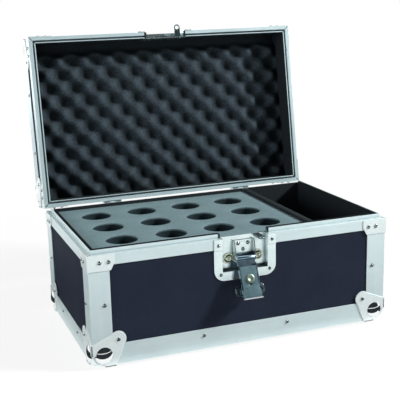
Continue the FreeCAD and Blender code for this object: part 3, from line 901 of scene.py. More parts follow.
class Blank:
    """A mesh that is being shaped, in millimetres, and ends as one piece of the case."""

    def __init__(self) -> None:
        """Starts empty."""
        self.mesh = bmesh.new()

    def move(self, vertices: Iterable[bmesh.types.BMVert], matrix: Matrix) -> None:
        """Moves some vertices."""
        bmesh.ops.transform(self.mesh, matrix=matrix, verts=list(vertices))

    def since(self, before: set[bmesh.types.BMVert]) -> list[bmesh.types.BMVert]:
        """The vertices that were not there before."""
        return [v for v in self.mesh.verts if v not in before]

    def faces_of(self, vertices: Iterable[bmesh.types.BMVert]) -> list[bmesh.types.BMFace]:
        """The faces that meet at some vertices, each once."""
        return list(dict.fromkeys(face for v in vertices for face in v.link_faces))

    def cut(self, before: set[bmesh.types.BMVert], point: Vector, normal: Vector, clear: bool) -> list[Any]:
        """Cuts what is new along a plane.

        Args:
            before: The vertices that are left alone.
            point: A point on the plane.
            normal: The plane's outward direction.
            clear: Whether what lies outside goes.

        Returns:
            The vertices and edges of the cut.
        """
        fresh = self.since(before)
        edges = list(dict.fromkeys(edge for v in fresh for edge in v.link_edges))
        made = bmesh.ops.bisect_plane(
            self.mesh,
            geom=fresh + edges + self.faces_of(fresh),
            dist=1e-4,
            plane_co=point,
            plane_no=normal,
            clear_outer=clear,
        )
        return made["geom_cut"]

    def thicken(self, faces: Iterable[bmesh.types.BMFace], by: Sequence[float]) -> list[bmesh.types.BMVert]:
        """Pushes a copy of some faces away and walls in the space between.

        Args:
            faces: The faces, which stay.
            by: How far the copy goes.

        Returns:
            The copy's vertices.
        """
        made = bmesh.ops.extrude_face_region(self.mesh, geom=list(faces), use_keep_orig=True)
        copy = only(bmesh.types.BMVert, made["geom"])
        bmesh.ops.translate(self.mesh, verts=copy, vec=by)
        return copy

    def revolve(self, outline: Sequence[Span], steps: int, place: Matrix) -> None:
        """Turns an outline once round Z, closing it at its ends on the axis.

        Args:
            outline: (radius, height) points, from one end on the axis to the other.
            steps: How many sides it gets.
            place: Where it then goes.
        """
        before = set(self.mesh.verts)
        points = [self.mesh.verts.new((radius, 0.0, height)) for radius, height in outline]
        edges = [self.mesh.edges.new(pair) for pair in zip(points, points[1:])]
        bmesh.ops.spin(
            self.mesh,
            geom=points + edges,
            cent=(0, 0, 0),
            axis=AXES["Z"],
            angle=math.tau,
            steps=steps,
            use_merge=True,
        )
        bmesh.ops.remove_doubles(self.mesh, verts=self.since(before), dist=1e-4)
        self.move(self.since(before), place)

    def box(self, first: Sequence[float], second: Sequence[float], place: Matrix = STILL) -> None:
        """Adds a box.

        Args:
            first: One corner.
            second: The corner across from it.
            place: Where it then goes.
        """
        a, b = Vector(first), Vector(second)
        scale = Matrix.Diagonal((*(abs(x) for x in b - a), 1.0))
        bmesh.ops.create_cube(self.mesh, size=1.0, matrix=place @ Matrix.Translation((a + b) / 2) @ scale)

    def soften(self, edges: Iterable[bmesh.types.BMEdge], width: float, segments: int) -> None:
        """Rounds some edges.

        Args:
            edges: The edges.
            width: How wide the round is.
            segments: How many faces it gets.
        """
        bmesh.ops.bevel(
            self.mesh,
            geom=list(edges),
            offset=width,
            offset_type="OFFSET",
            affect="EDGES",
            segments=segments,
            profile=0.5,
            material=-1,
            clamp_overlap=True,
        )

    def sharp_edges(self) -> list[bmesh.types.BMEdge]:
        """Finds the edges to soften.

        Returns:
            The edges whose two faces turn by more than a plain crease.
        """
        self.mesh.normal_update()
        limit = math.radians(Crease.PLAIN.value)
        return [e for e in self.mesh.edges if len(e.link_faces) == 2 and e.calc_face_angle() > limit]

    def mirror(self, axis: str) -> None:
        """Adds the mirror image across the middle of the case."""
        whole = self.mesh.verts[:] + self.mesh.edges[:] + self.mesh.faces[:]
        bmesh.ops.mirror(self.mesh, geom=whole, axis=axis, merge_dist=1e-5)

    def finish(
        self,
        name: str,
        sit: Sit,
        body: str,
        slot: str,
        material: bpy.types.Material,
        crease: Crease = Crease.PLAIN,
    ) -> bpy.types.Object:
        """Makes the shape a piece of the case.

        Args:
            name: The piece's name.
            sit: What it swings with to its place at rest.
            body: The frame body that it rides on.
            slot: The record's slot named for the piece; not used.
            material: Its finish.
            crease: Which of its edges stay crisp.

        Returns:
            The piece.
        """
        bmesh.ops.recalc_face_normals(self.mesh, faces=self.mesh.faces[:])
        self.move(self.mesh.verts, Matrix.Scale(MM, 4) @ sit.swing())
        data = bpy.data.meshes.new(name)
        self.mesh.to_mesh(data)
        self.mesh.free()
        data.materials.append(material)
        data.shade_smooth()
        data.set_sharp_from_angle(angle=math.radians(crease.value))
        piece = bpy.data.objects.new(name, data)
        bpy.context.scene.collection.objects.link(piece)
        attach(piece, body)
        LOG.info("%s: %d faces on %s", name, len(data.polygons), body)
        return piece


@dataclass
class BlockFoam:
    """The grey foam block with its twelve drilled holes, and the pads under the contents."""

    columns: int = 4
    rows: int = 3
    first_x: float = -163.7
    pitch_x: float = 74.7
    pitch_y: float = 73.0
    hole_radius: float = 23.4
    cell_cuts: int = 7
    cell_margin: float = 2.0
    lip_round: float = 0.6
    lip_reach: float = 0.1
    pad_round: float = 1.5
    pad_foot: float = 1.0
    pad_cells: tuple[int, int] = (12, 14)
    pad_waves: Span = (17.0, 23.0)
    pad_wave_depth: float = 0.4
    pad_rise: float = 0.35

    def build(self, finishes: Finishes) -> None:
        """Makes the block and the two pads.

        Args:
            finishes: The finishes of the case.
        """
        self.block(finishes)
        self.pad("block_floor_pad", "foam_floor_pad", finishes)
        self.pad("compartment_pad", "compartment_floor_pad", finishes)

    def block(self, finishes: Finishes) -> None:
        """Makes the block from a sheet of cells, each with a round hole.

        Args:
            finishes: The finishes of the case.
        """
        low, high = node_box("foam_block")
        blank = Blank()
        mesh = blank.mesh
        bmesh.ops.create_grid(mesh, x_segments=self.columns, y_segments=self.rows, size=0.5)
        for vertex in mesh.verts:
            column = round((vertex.co.x + 0.5) * self.columns)
            row = round((vertex.co.y + 0.5) * self.rows)
            vertex.co = Vector((self.line_x(column, low, high), self.line_y(row, low, high), high.z))
        bmesh.ops.bisect_edges(mesh, edges=mesh.edges[:], cuts=self.cell_cuts)
        cells = mesh.faces[:]
        bmesh.ops.inset_individual(mesh, faces=cells, thickness=self.cell_margin, use_even_offset=True)
        for cell in cells:
            self.round_hole(cell)
        bmesh.ops.delete(mesh, geom=cells, context="FACES_ONLY")
        blank.thicken(mesh.faces, (0, 0, low.z - high.z))
        near_top = high.z - self.lip_reach
        lips = [e for e in blank.sharp_edges() if min(v.co.z for v in e.verts) > near_top]
        blank.soften(lips, self.lip_round, 3)
        piece = blank.finish("foam_block_drilled", Sit.BASE, "base", "grey_foam", finishes.block)
        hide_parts("foam_block")

    def line_x(self, column: int, low: Vector, high: Vector) -> float:
        """Finds where the line left of a column of holes runs.

        Args:
            column: The column, from 0; one past the last is the block's right side.
            low: The block's lowest corner.
            high: Its highest corner.

        Returns:
            The line's place along X.
        """
        if column in (0, self.columns):
            return high.x if column else low.x
        return self.first_x + (column - 0.5) * self.pitch_x

    def line_y(self, row: int, low: Vector, high: Vector) -> float:
        """Finds where the line in front of a row of holes runs.

        Args:
            row: The row, from 0; one past the last is the block's rear.
            low: The block's lowest corner.
            high: Its highest corner.

        Returns:
            The line's place along Y.
        """
        if row in (0, self.rows):
            return high.y if row else low.y
        return (row - self.rows / 2) * self.pitch_y

    def round_hole(self, cell: bmesh.types.BMFace) -> None:
        """Moves a cell's outline onto the circle of its hole.

        Args:
            cell: The cell.
        """
        middle = cell.calc_center_bounds()
        column = round((middle.x - self.first_x) / self.pitch_x)
        row = round(middle.y / self.pitch_y)
        centre = Vector((self.first_x + column * self.pitch_x, row * self.pitch_y, middle.z))
        for vertex in cell.verts:
            vertex.co = centre + (vertex.co - centre).normalized() * self.hole_radius

    def pad(self, name: str, node: str, finishes: Finishes) -> None:
        """Makes a thin pad with a softened, slightly wavy top.

        Args:
            name: The piece's name.
            node: The frame node that it stands for.
            finishes: The finishes of the case.
        """
        low, high = node_box(node)
        blank = Blank()
        mesh = blank.mesh
        rise = mesh.verts.layers.float.new("rise")
        along, across = self.pad_cells
        bmesh.ops.create_grid(mesh, x_segments=along, y_segments=across, size=0.5)
        scale = Matrix.Diagonal((high.x - low.x, high.y - low.y, 1.0, 1.0))
        blank.move(mesh.verts, Matrix.Translation(((low.x + high.x) / 2, 0.0, low.z)) @ scale)
        for vertex in blank.thicken(mesh.faces, (0, 0, high.z - low.z)):
            ripple = math.sin(vertex.co.x / self.pad_waves[0]) * math.cos(vertex.co.y / self.pad_waves[1])
            vertex.co.z -= self.pad_wave_depth * (1.0 - ripple) / 2.0
            # The pads sit at one level of the foam's painted shade.
            vertex[rise] = self.pad_rise
        foot = low.z + self.pad_foot
        edges = [e for e in blank.sharp_edges() if min(v.co.z for v in e.verts) > foot]
        blank.soften(edges, self.pad_round, 2)
        piece = blank.finish(name, Sit.BASE, "base", "black_foam", finishes.pads)
        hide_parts(node)


@dataclass
class EggCrateFoam:
    """The lid's egg-crate foam: staggered round bumps on a slab, plain along the front wall."""

    pitch_x: float = 42.8
    pitch_y: float = 44.0
    shift_x: float = -6.3
    shift_y: float = -11.2
    plain_strip: float = 13.0
    plain_fade: float = 9.0
    height: float = 16.5
    slab: float = 9.0
    gap: float = 0.3
    cells_x: int = 124
    cells_y: int = 74
    fullness: float = 1.1

    def build(self, finishes: Finishes) -> None:
        """Makes the foam.

        Args:
            finishes: The finishes of the case.
        """
        half_x, half_y = SIZES.inner_x - self.gap, SIZES.inner_y - self.gap
        blank = Blank()
        mesh = blank.mesh
        bmesh.ops.create_grid(mesh, x_segments=self.cells_x, y_segments=self.cells_y, size=0.5)
        scale = Matrix.Diagonal((2 * half_x, 2 * half_y, 1.0, 1.0))
        blank.move(mesh.verts, Matrix.Translation((0, 0, SIZES.ceiling - self.slab)) @ scale)
        rise = mesh.verts.layers.float.new("rise")
        for vertex in mesh.verts:
            vertex[rise] = self.bump(vertex.co.x, vertex.co.y)
            vertex.co.z -= self.height * vertex[rise]
        border = [edge for edge in mesh.edges if edge.is_boundary]
        made = bmesh.ops.extrude_edge_only(mesh, edges=border)["geom"]
        for vertex in only(bmesh.types.BMVert, made):
            vertex.co.z = SIZES.ceiling
            vertex[rise] = 0.0
        border = [edge for edge in mesh.edges if edge.is_boundary]
        bmesh.ops.holes_fill(mesh, edges=border, sides=0)
        piece = blank.finish("lid_egg_crate", Sit.LID, "lid", "black_foam", finishes.crates, Crease.DOMED)
        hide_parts("lid_foam")

    def bump(self, x: float, y: float) -> float:
        """Finds how high the foam is at a point.

        Args:
            x: The point's place along the case.
            y: Its place across it.

        Returns:
            The height, from 0 in a valley to 1 on a crest.
        """
        along = math.tau * (x - self.shift_x) / self.pitch_x
        across = math.tau * (y - self.shift_y) / self.pitch_y
        crest = (1.0 + math.cos(along) * math.cos(across)) / 2.0
        inset = (y + SIZES.inner_y - self.plain_strip) / self.plain_fade
        return crest**self.fullness * min(max(inset, 0.0), 1.0)


@dataclass
class WallLining:
    """Black lining on the walls inside: upright strips in the base, thin felt in the lid. The base's strips
    also rise behind the rims' tongues as a dark sheet that paints the shade of the gap between rim and
    foam.
    """

    base_low: float = 22.0
    # The base strips' upper edges rise behind the tongue: painted shade of the gap there.
    base_top: float = 171.8
    base_rear_top: float = 169.4
    base_over: float = 168.3
    base_depths: Span = (10.7, 11.4)
    base_gap: Span = (111.6, 121.4)
    lid_low: float = 165.8
    lid_top: float = 196.5
    lid_over: float = 168.6
    lid_depths: Span = (10.05, 10.45)
    lid_gap: Span = (111.2, 121.8)
    dish_half: float = 37.2
    edge_round: float = 0.15
    divider_step: float = 153.0
    divider_neck: float = 127.2
    divider_round: float = 0.6

    def build(self, finishes: Finishes) -> None:
        """Lines the base and the lid, and covers the divider.

        Args:
            finishes: The finishes of the case.
        """
        self.divider(finishes)
        strips = self.strips(self.base_depths[0], self.base_gap, self.base_low, self.base_over)
        tops = {-1: self.base_top, 1: self.base_rear_top}
        self.line(Sit.BASE, strips, self.base_depths, self.base_low, tops, finishes)
        strips = self.strips(self.lid_depths[0], self.lid_gap, self.lid_low, self.lid_over)
        tops = {-1: self.lid_top, 1: self.lid_top}
        self.line(Sit.LID, strips, self.lid_depths, self.lid_low, tops, finishes)

    def divider(self, finishes: Finishes) -> None:
        """Makes the felted divider, with rounded edges and a narrower top.

        Args:
            finishes: The finishes of the case.
        """
        low, high = node_box("compartment_divider")
        neck, step = self.divider_neck, self.divider_step
        half = [(high.y, low.z), (high.y, step), (neck, step), (neck, high.z)]
        outline = half + [(-y, z) for y, z in reversed(half)]
        blank = Blank()
        side = blank.mesh.faces.new([blank.mesh.verts.new((low.x, y, z)) for y, z in outline])
        blank.thicken([side], (high.x - low.x, 0.0, 0.0))
        blank.soften(blank.sharp_edges(), self.divider_round, 2)
        name, slot = "felted_divider", "divider_board"
        piece = blank.finish(name, Sit.BASE, "base", slot, finishes.felt, Crease.BOARD)
        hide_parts("compartment_divider")

    def strips(self, depth: float, gap: Span, low: float, over: float) -> dict[int, list[Point]]:
        """Finds the strips at the front (-1) and the rear (1).

        Args:
            depth: How far in from the case's outside they are.
            gap: Where the divider is along X.
            low: Their lower edge.
            over: Their lower edge over the divider.

        Returns:
            Where each strip starts and stops along X, and its lower edge.
        """
        reach, (left, right) = SIZES.half_width - depth, gap
        beyond = [(left, right, over), (right, reach, low)]
        front = [(-reach, -self.dish_half, low), (self.dish_half, left, low)]
        return {-1: front + beyond, 1: [(-reach, left, low)] + beyond}

    def line(
        self,
        sit: Sit,
        strips: dict[int, list[Point]],
        depths: Span,
        low: float,
        tops: dict[int, float],
        finishes: Finishes,
    ) -> None:
        """Makes the lining of one part of the case.

        Args:
            sit: The part.
            strips: The strips at the front and the rear.
            depths: How far in from the case's outside the strips start and end.
            low: The side strips' lower edge.
            tops: The upper edges at the front and the rear.
            finishes: The finishes of the case.
        """
        blank = Blank()
        outer_x, inner_x = (SIZES.half_width - depth for depth in depths)
        outer_y, inner_y = (SIZES.half_depth - depth for depth in depths)
        for end, runs in strips.items():
            for start, stop, foot in runs:
                blank.box((start, end * outer_y, foot), (stop, end * inner_y, tops[end]))
        for side in SIDES:
            blank.box((side * outer_x, -inner_y, low), (side * inner_x, inner_y, tops[-1]))
        blank.soften(blank.sharp_edges(), self.edge_round, 1)
        name, slot = sit.value + "_wall_lining", "divider_board"
        blank.finish(name, sit, sit.value, slot, finishes.lining, Crease.FLAT)


@dataclass
class NotchShadowPads:
    """Black pads where the front rims are cut for the latch, a dark sheet that paints the shadow in the
    rims' hollow ends.
    """

    base_x: Span = (36.5, 39.2)
    base_y: Span = (-131.85, -129.15)
    base_z: Span = (164.8, 171.5)
    lid_x: Span = (32.6, 36.2)
    lid_y: Span = (-137.2, -127.6)
    lid_z: Span = (165.08, 165.4)
    edge_round: float = 0.1

    def build(self, finishes: Finishes) -> None:
        """Makes the pads of the base and of the lid.

        Args:
            finishes: The finishes of the case.
        """
        spans = {
            Sit.BASE: (self.base_x, self.base_y, self.base_z),
            Sit.LID: (self.lid_x, self.lid_y, self.lid_z),
        }
        for sit, (xs, ys, zs) in spans.items():
            blank = Blank()
            for side in SIDES:
                blank.box((side * xs[0], ys[0], zs[0]), (side * xs[1], ys[1], zs[1]))
            blank.soften(blank.sharp_edges(), self.edge_round, 1)
            # Painted shadow in the cut ends of the rims.
            name, slot = sit.value + "_notch_shadow_pads", "divider_board"
            blank.finish(name, sit, sit.value, slot, finishes.lining, Crease.FLAT)


@dataclass
class MitreSeams:
    """Dark joints where the lengths of a closing rim meet at the corners."""

    width: float = 0.9
    sunk: float = 0.3
    base_rise: float = 0.1
    base_lands: Outline = ((0.6, 5.6),)
    lid_rise: float = 0.12
    lid_lands: Outline = ((0.6, 5.3), (8.7, 9.9))

    def build(self, finishes: Finishes) -> None:
        """Makes the seams of the base and of the lid.

        Args:
            finishes: The finishes of the case.
        """
        rims = {
            Sit.BASE: (SIZES.shoulder, self.base_rise, self.base_lands),
            Sit.LID: (SIZES.lid_low, -self.lid_rise, self.lid_lands),
        }
        for sit, (level, rise, lands) in rims.items():
            blank = Blank()
            levels = sorted((level + rise, level - math.copysign(self.sunk, rise)))
            for near, far in lands:
                self.seam(blank, near, far, levels)
            blank.mirror("X")
            blank.mirror("Y")
            name, slot = sit.value + "_mitre_seams", "aluminium"
            blank.finish(name, sit, sit.value, slot, finishes.lining, Crease.FLAT)

    def seam(self, blank: Blank, near: float, far: float, levels: list[float]) -> None:
        """Adds one seam at the left front corner.

        Args:
            blank: The seams.
            near: How deep inside both faces of the corner it starts.
            far: How deep it ends.
            levels: Its lower and upper faces.
        """
        slant, half = math.sqrt(2.0), self.width / 2
        corner = Matrix.Translation((-SIZES.half_width, -SIZES.half_depth, 0.0))
        place = corner @ Matrix.Rotation(math.pi / 4, 4, "Z")
        blank.box((near * slant, -half, levels[0]), (far * slant, half, levels[1]), place)


@dataclass
class BallCorners:
    """Pressed ball corners: a ball let into the corner and three lobed plates."""

    radius: float = 21.5
    inset: float = 16.5
    plate: float = 1.5
    arm: float = 33.0
    lobe_place: float = 37.0
    lobe_radius: float = 12.0
    lobe_steps: int = 10
    ball_sides: int = 48
    plate_round: float = 0.5
    core_radius: float = 23.3
    recess: float = -0.3

    def build(self, finishes: Finishes) -> None:
        """Makes the base's corners and the lid's.

        Args:
            finishes: The finishes of the case.
        """
        lower = Matrix.Translation((-SIZES.half_width, -SIZES.half_depth, SIZES.sill))
        upper = Matrix.Translation((-SIZES.half_width, -SIZES.half_depth, SIZES.lid_top))
        flip = Matrix.Diagonal((1.0, 1.0, -1.0, 1.0))
        turns = [Matrix.Rotation(math.tau * step / 3, 4, Vector((1, 1, 1))) for step in range(3)]
        for sit, place in ((Sit.BASE, lower), (Sit.LID, upper @ flip)):
            plates, bulges = Blank(), Blank()
            self.core(plates)
            for turn in turns:
                self.lobed_plate(plates, turn)
                self.cut_ball(bulges, self.radius, [(AXES["Z"] * self.recess, AXES["Z"])], turn)
            for blank in (plates, bulges):
                blank.move(blank.mesh.verts, place)
                blank.mirror("X")
                blank.mirror("Y")
            name = sit.value + "_corner_plates"
            piece = plates.finish(name, sit, sit.value, "chrome", finishes.corner, Crease.FLAT)
            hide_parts(sit.value + "_ball_corners")
            name = sit.value + "_corner_balls"
            bulges.finish(name, sit, sit.value, "chrome", finishes.bright, Crease.FLAT)

    def core(self, blank: Blank) -> None:
        """Adds the rounded core of a corner, with the case's corner at the origin.

        Args:
            blank: The corner.
        """
        faces = [(axis * self.recess, -axis) for axis in AXES.values()]
        walls = [(axis * self.inset, axis) for axis in AXES.values()]
        self.cut_ball(blank, self.core_radius, faces + walls, STILL)

    def cut_ball(
        self, blank: Blank, radius: float, cuts: list[tuple[Vector, Vector]], turn: Matrix
    ) -> None:
        """Adds a ball with flats: the rounded core of the corner, or one face's bulge.

        Args:
            blank: The corner.
            radius: The ball's radius.
            cuts: A point and the outward direction of each flat.
            turn: The turn from the bottom of the corner to the bulge's own face.
        """
        mesh = blank.mesh
        before = set(mesh.verts)
        bmesh.ops.create_uvsphere(
            mesh,
            u_segments=self.ball_sides,
            v_segments=self.ball_sides // 2,
            radius=radius,
            matrix=Matrix.Translation(Vector((self.inset,) * 3)),
        )
        for point, normal in cuts:
            rim = only(bmesh.types.BMEdge, blank.cut(before, point, normal, True))
            bmesh.ops.holes_fill(mesh, edges=rim, sides=0)
        blank.move(blank.since(before), turn)

    def lobed_plate(self, blank: Blank, turn: Matrix) -> None:
        """Adds a plate with a round lobe, open where the ball comes through.

        Args:
            blank: The corner.
            turn: The turn from the bottom of the corner to the plate's own face.
        """
        mesh = blank.mesh
        before = set(mesh.verts)
        middle, offset = self.lobe_place, self.lobe_radius * math.sin(math.pi / 4)
        bmesh.ops.spin(
            mesh,
            geom=[mesh.verts.new((middle + offset, middle - offset, 0.0))],
            cent=(middle, middle, 0.0),
            axis=AXES["Z"],
            angle=math.pi,
            steps=self.lobe_steps,
            use_merge=False,
        )
        arc = blank.since(before)
        arc.sort(key=lambda v: math.atan2(v.co.y - middle, v.co.x - middle))
        ends = [(-self.plate, self.arm), (-self.plate, -self.plate), (self.arm, -self.plate)]
        mesh.faces.new(arc + [mesh.verts.new((x, y, 0.0)) for x, y in ends])
        for axis in (AXES["X"], AXES["Y"]):
            blank.cut(before, axis * self.inset, axis, False)
        faces = blank.faces_of(blank.since(before))
        opening = [face for face in faces if max(face.calc_center_bounds().xy) < self.inset]
        bmesh.ops.delete(mesh, geom=opening, context="FACES")
        outer = set(blank.thicken(blank.faces_of(blank.since(before)), (0, 0, -self.plate)))
        rim = [e for e in blank.sharp_edges() if all(v in outer for v in e.verts)]
        blank.soften(rim, self.plate_round, 2)
        blank.move(blank.since(before), turn)


@dataclass
class Rivets:
    """Domed rivets, gathered by the part of the case that they hold together.

    The dome's points are shares of a head's radius and height.
    """

    radius: float = 3.0
    height: float = 1.9
    root: float = 0.6
    sides: int = 12
    dome: Outline = ((1.0, 0.15), (0.86, 0.58), (0.5, 0.9), (0.0, 1.0))
    blanks: dict[Sit, Blank] = field(default_factory=lambda: {Sit.BASE: Blank(), Sit.LID: Blank()})

    def head(self, sit: Sit, point: Sequence[float], facing: Vector, scale: float = 1.0) -> None:
        """Adds one rivet.

        Args:
            sit: The part of the case that it is on.
            point: Where it meets the surface.
            facing: The way that it points.
            scale: Its size against the usual rivet.
        """
        radius, height = self.radius * scale, self.height * scale
        outline = [(0.0, -self.root), (radius, -self.root)]
        outline += [(radius * out, height * up) for out, up in self.dome]
        aim = AXES["Z"].rotation_difference(facing).to_matrix().to_4x4()
        self.blanks[sit].revolve(outline, self.sides, Matrix.Translation(Vector(point)) @ aim)

    def ring(self, sit: Sit, point: Sequence[float], facing: Vector) -> None:
        """Adds a rivet and its mirror images across the middle of the case.

        Args:
            sit: The part of the case that it is on.
            point: Where the rivet at the right rear is.
            facing: The way that it points.
        """
        x, y, z = point
        for sx, sy in product(SIDES, SIDES):
            self.head(sit, (x * sx, y * sy, z), Vector((facing.x * sx, facing.y * sy, facing.z)))

    def build(self, finishes: Finishes) -> None:
        """Makes one piece of each part's rivets.

        Args:
            finishes: The finishes of the case.
        """
        for sit, blank in self.blanks.items():
            name = sit.value + "_rivets"
            blank.finish(name, sit, sit.value, "brace_steel", finishes.rivet, Crease.DOMED)


@dataclass
class EdgeRivets:
    """Where the rivets of the edging, corners, hinges and dishes are."""

    sill_x: float = 66.0
    sill_y: float = 48.0
    sill_rise: float = 20.0
    post_inset: float = 21.0
    post_z: float = 93.0
    brace_near: float = 16.5
    brace_far: float = 29.0
    brace_sheet: float = 1.2
    base_brace_z: float = 154.3
    lid_brace_z: float = 174.0
    ball_near: float = 37.5
    ball_far: float = 36.5
    ball_plate: float = 1.5
    hinge_x: float = 116.0
    hinge_spread: float = 9.0
    hinge_drop: float = 26.0
    hinge_sheet: float = 2.0
    dish_sheet: float = 1.2
    dish_scale: float = 0.85
    dish_rim: Span = (41.5, 156.0)
    dish_foot: Span = (38.0, 112.0)
    lid_dish_rim: Span = (41.5, 174.0)
    bracket_x: float = 61.0
    bracket_y: float = 17.0
    bracket_z: float = 231.8

    def place(self, rivets: Rivets) -> None:
        """Puts every rivet on the case.

        Args:
            rivets: The rivets.
        """
        self.edging(rivets)
        self.corners(rivets)
        self.fittings(rivets)

    def edging(self, rivets: Rivets) -> None:
        """Puts the rivets of the sills, the lid's edges and the posts.

        Args:
            rivets: The rivets.
        """
        x, y = SIZES.half_width, SIZES.half_depth
        levels = {Sit.BASE: SIZES.sill + self.sill_rise, Sit.LID: SIZES.lid_top - self.sill_rise}
        for sit, z in levels.items():
            rivets.ring(sit, (self.sill_x, y, z), AXES["Y"])
            rivets.ring(sit, (x, self.sill_y, z), AXES["X"])
        inner_x, inner_y = x - self.sill_rise, y - self.sill_rise
        for sit, z, up in ((Sit.BASE, SIZES.sill, -1), (Sit.LID, SIZES.lid_top, 1)):
            rivets.ring(sit, (self.sill_x, inner_y, z), AXES["Z"] * up)
            rivets.ring(sit, (inner_x, self.sill_y, z), AXES["Z"] * up)
        rivets.ring(Sit.BASE, (x - self.post_inset, y, self.post_z), AXES["Y"])
        rivets.ring(Sit.BASE, (x, y - self.post_inset, self.post_z), AXES["X"])

    def corners(self, rivets: Rivets) -> None:
        """Puts the rivets of the braces and the ball corners.

        Args:
            rivets: The rivets.
        """
        x, y = SIZES.half_width, SIZES.half_depth
        for sit, z in ((Sit.BASE, self.base_brace_z), (Sit.LID, self.lid_brace_z)):
            for inset in (self.brace_near, self.brace_far):
                rivets.ring(sit, (x - inset, y + self.brace_sheet, z), AXES["Y"])
                rivets.ring(sit, (x + self.brace_sheet, y - inset, z), AXES["X"])
        for sit, edge, up in ((Sit.BASE, SIZES.sill, 1), (Sit.LID, SIZES.lid_top, -1)):
            level = edge + up * self.ball_far
            rivets.ring(sit, (x - self.ball_near, y + self.ball_plate, level), AXES["Y"])
            rivets.ring(sit, (x + self.ball_plate, y - self.ball_near, level), AXES["X"])
            flat = (x - self.ball_near, y - self.ball_near, edge - up * self.ball_plate)
            rivets.ring(sit, flat, AXES["Z"] * -up)

    def fittings(self, rivets: Rivets) -> None:
        """Puts the rivets of the hinges, the dishes and the handle.

        Args:
            rivets: The rivets.
        """
        leaf_y = SIZES.panel_face + self.hinge_sheet
        dishes = (
            (Sit.BASE, self.dish_rim, SIZES.half_depth),
            (Sit.BASE, self.dish_foot, SIZES.panel_face),
            (Sit.LID, self.lid_dish_rim, SIZES.half_depth),
        )
        for side in SIDES:
            for spread in (-self.hinge_spread, self.hinge_spread):
                x = side * self.hinge_x + spread
                rivets.head(Sit.BASE, (x, leaf_y, SIZES.lid_low - self.hinge_drop), AXES["Y"])
                rivets.head(Sit.LID, (x, leaf_y, SIZES.lid_low + self.hinge_drop), AXES["Y"])
            for sit, (x, z), face in dishes:
                point = (side * x, -face - self.dish_sheet, z)
                rivets.head(sit, point, -AXES["Y"], self.dish_scale)
            for along in (-self.bracket_y, self.bracket_y):
                rivets.head(Sit.LID, (side * self.bracket_x, along, self.bracket_z), AXES["Z"])


@dataclass
class LatchDetails:
    """Turned heads on the latch: the dish's bolts, the bracket's rivets and the claw's guide.

    Each profile is (radius, height) points, from the middle of the foot to the middle of the top.
    """

    bolt_x: float = 23.0
    bolt_z: float = 132.5
    bolt_sides: int = 24
    bolt_foot: Outline = ((0.0, -0.5), (8.0, -0.5), (8.0, 0.9), (6.4, 0.9))
    bolt_dome: Outline = ((6.0, 1.8), (4.92, 2.72), (2.7, 3.4), (1.8, 2.9), (0.0, 2.8))
    bracket_sheet: float = 1.5
    bracket_places: Outline = ((-7.5, 153.0), (7.5, 153.0), (0.0, 144.0))
    bracket_sides: int = 12
    bracket_rivet: Outline = ((0.0, -0.4), (3.0, -0.4), (3.0, 0.2), (2.4, 0.9), (1.2, 1.3), (0.0, 1.4))
    guide_along: float = 31.0
    guide_sides: int = 24
    guide_shank: Outline = ((0.0, 0.75), (3.0, 0.75), (3.0, 4.35), (7.2, 4.35), (7.2, 4.95))
    guide_head: Outline = ((6.48, 5.65), (5.04, 6.05), (3.456, 6.15), (2.592, 5.45), (0.0, 5.25))

    def build(self, finishes: Finishes) -> None:
        """Makes the heads.

        Args:
            finishes: The finishes of the case.
        """
        self.bolts(finishes)
        self.guide(finishes)

    def bolts(self, finishes: Finishes) -> None:
        """Makes the two bolts and the three small rivets at the back of the dish.

        Args:
            finishes: The finishes of the case.
        """
        aim = Matrix.Rotation(math.pi / 2, 4, "X")
        blank = Blank()
        for side in SIDES:
            place = Matrix.Translation((side * self.bolt_x, -SIZES.dish_back, self.bolt_z))
            blank.revolve(self.bolt_foot + self.bolt_dome, self.bolt_sides, place @ aim)
        name, slot = "latch_dish_bolts", "latch_steel"
        blank.finish(name, Sit.BASE, "base", slot, finishes.bolt, Crease.TURNED)
        blank = Blank()
        for x, z in self.bracket_places:
            place = Matrix.Translation((x, -SIZES.dish_back - self.bracket_sheet, z))
            blank.revolve(self.bracket_rivet, self.bracket_sides, place @ aim)
        name = "latch_bracket_rivets"
        blank.finish(name, Sit.BASE, "base", slot, finishes.rivet, Crease.TURNED)

    def guide(self, finishes: Finishes) -> None:
        """Makes the rivet that guides the claw, with a pan head and a driver's recess.

        Args:
            finishes: The finishes of the case.
        """
        blank = Blank()
        x, y, z = SIZES.latch_hinge
        aim = Matrix.Rotation(-math.pi / 2, 4, "X")
        place = Matrix.Translation((x, y, z + self.guide_along))
        blank.revolve(self.guide_shank + self.guide_head, self.guide_sides, place @ aim)
        name, slot = "claw_guide", "latch_steel"
        piece = blank.finish(name, Sit.LATCH, "latch_leaf", slot, finishes.guide, Crease.TURNED)
        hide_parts("claw_guide_rivet")


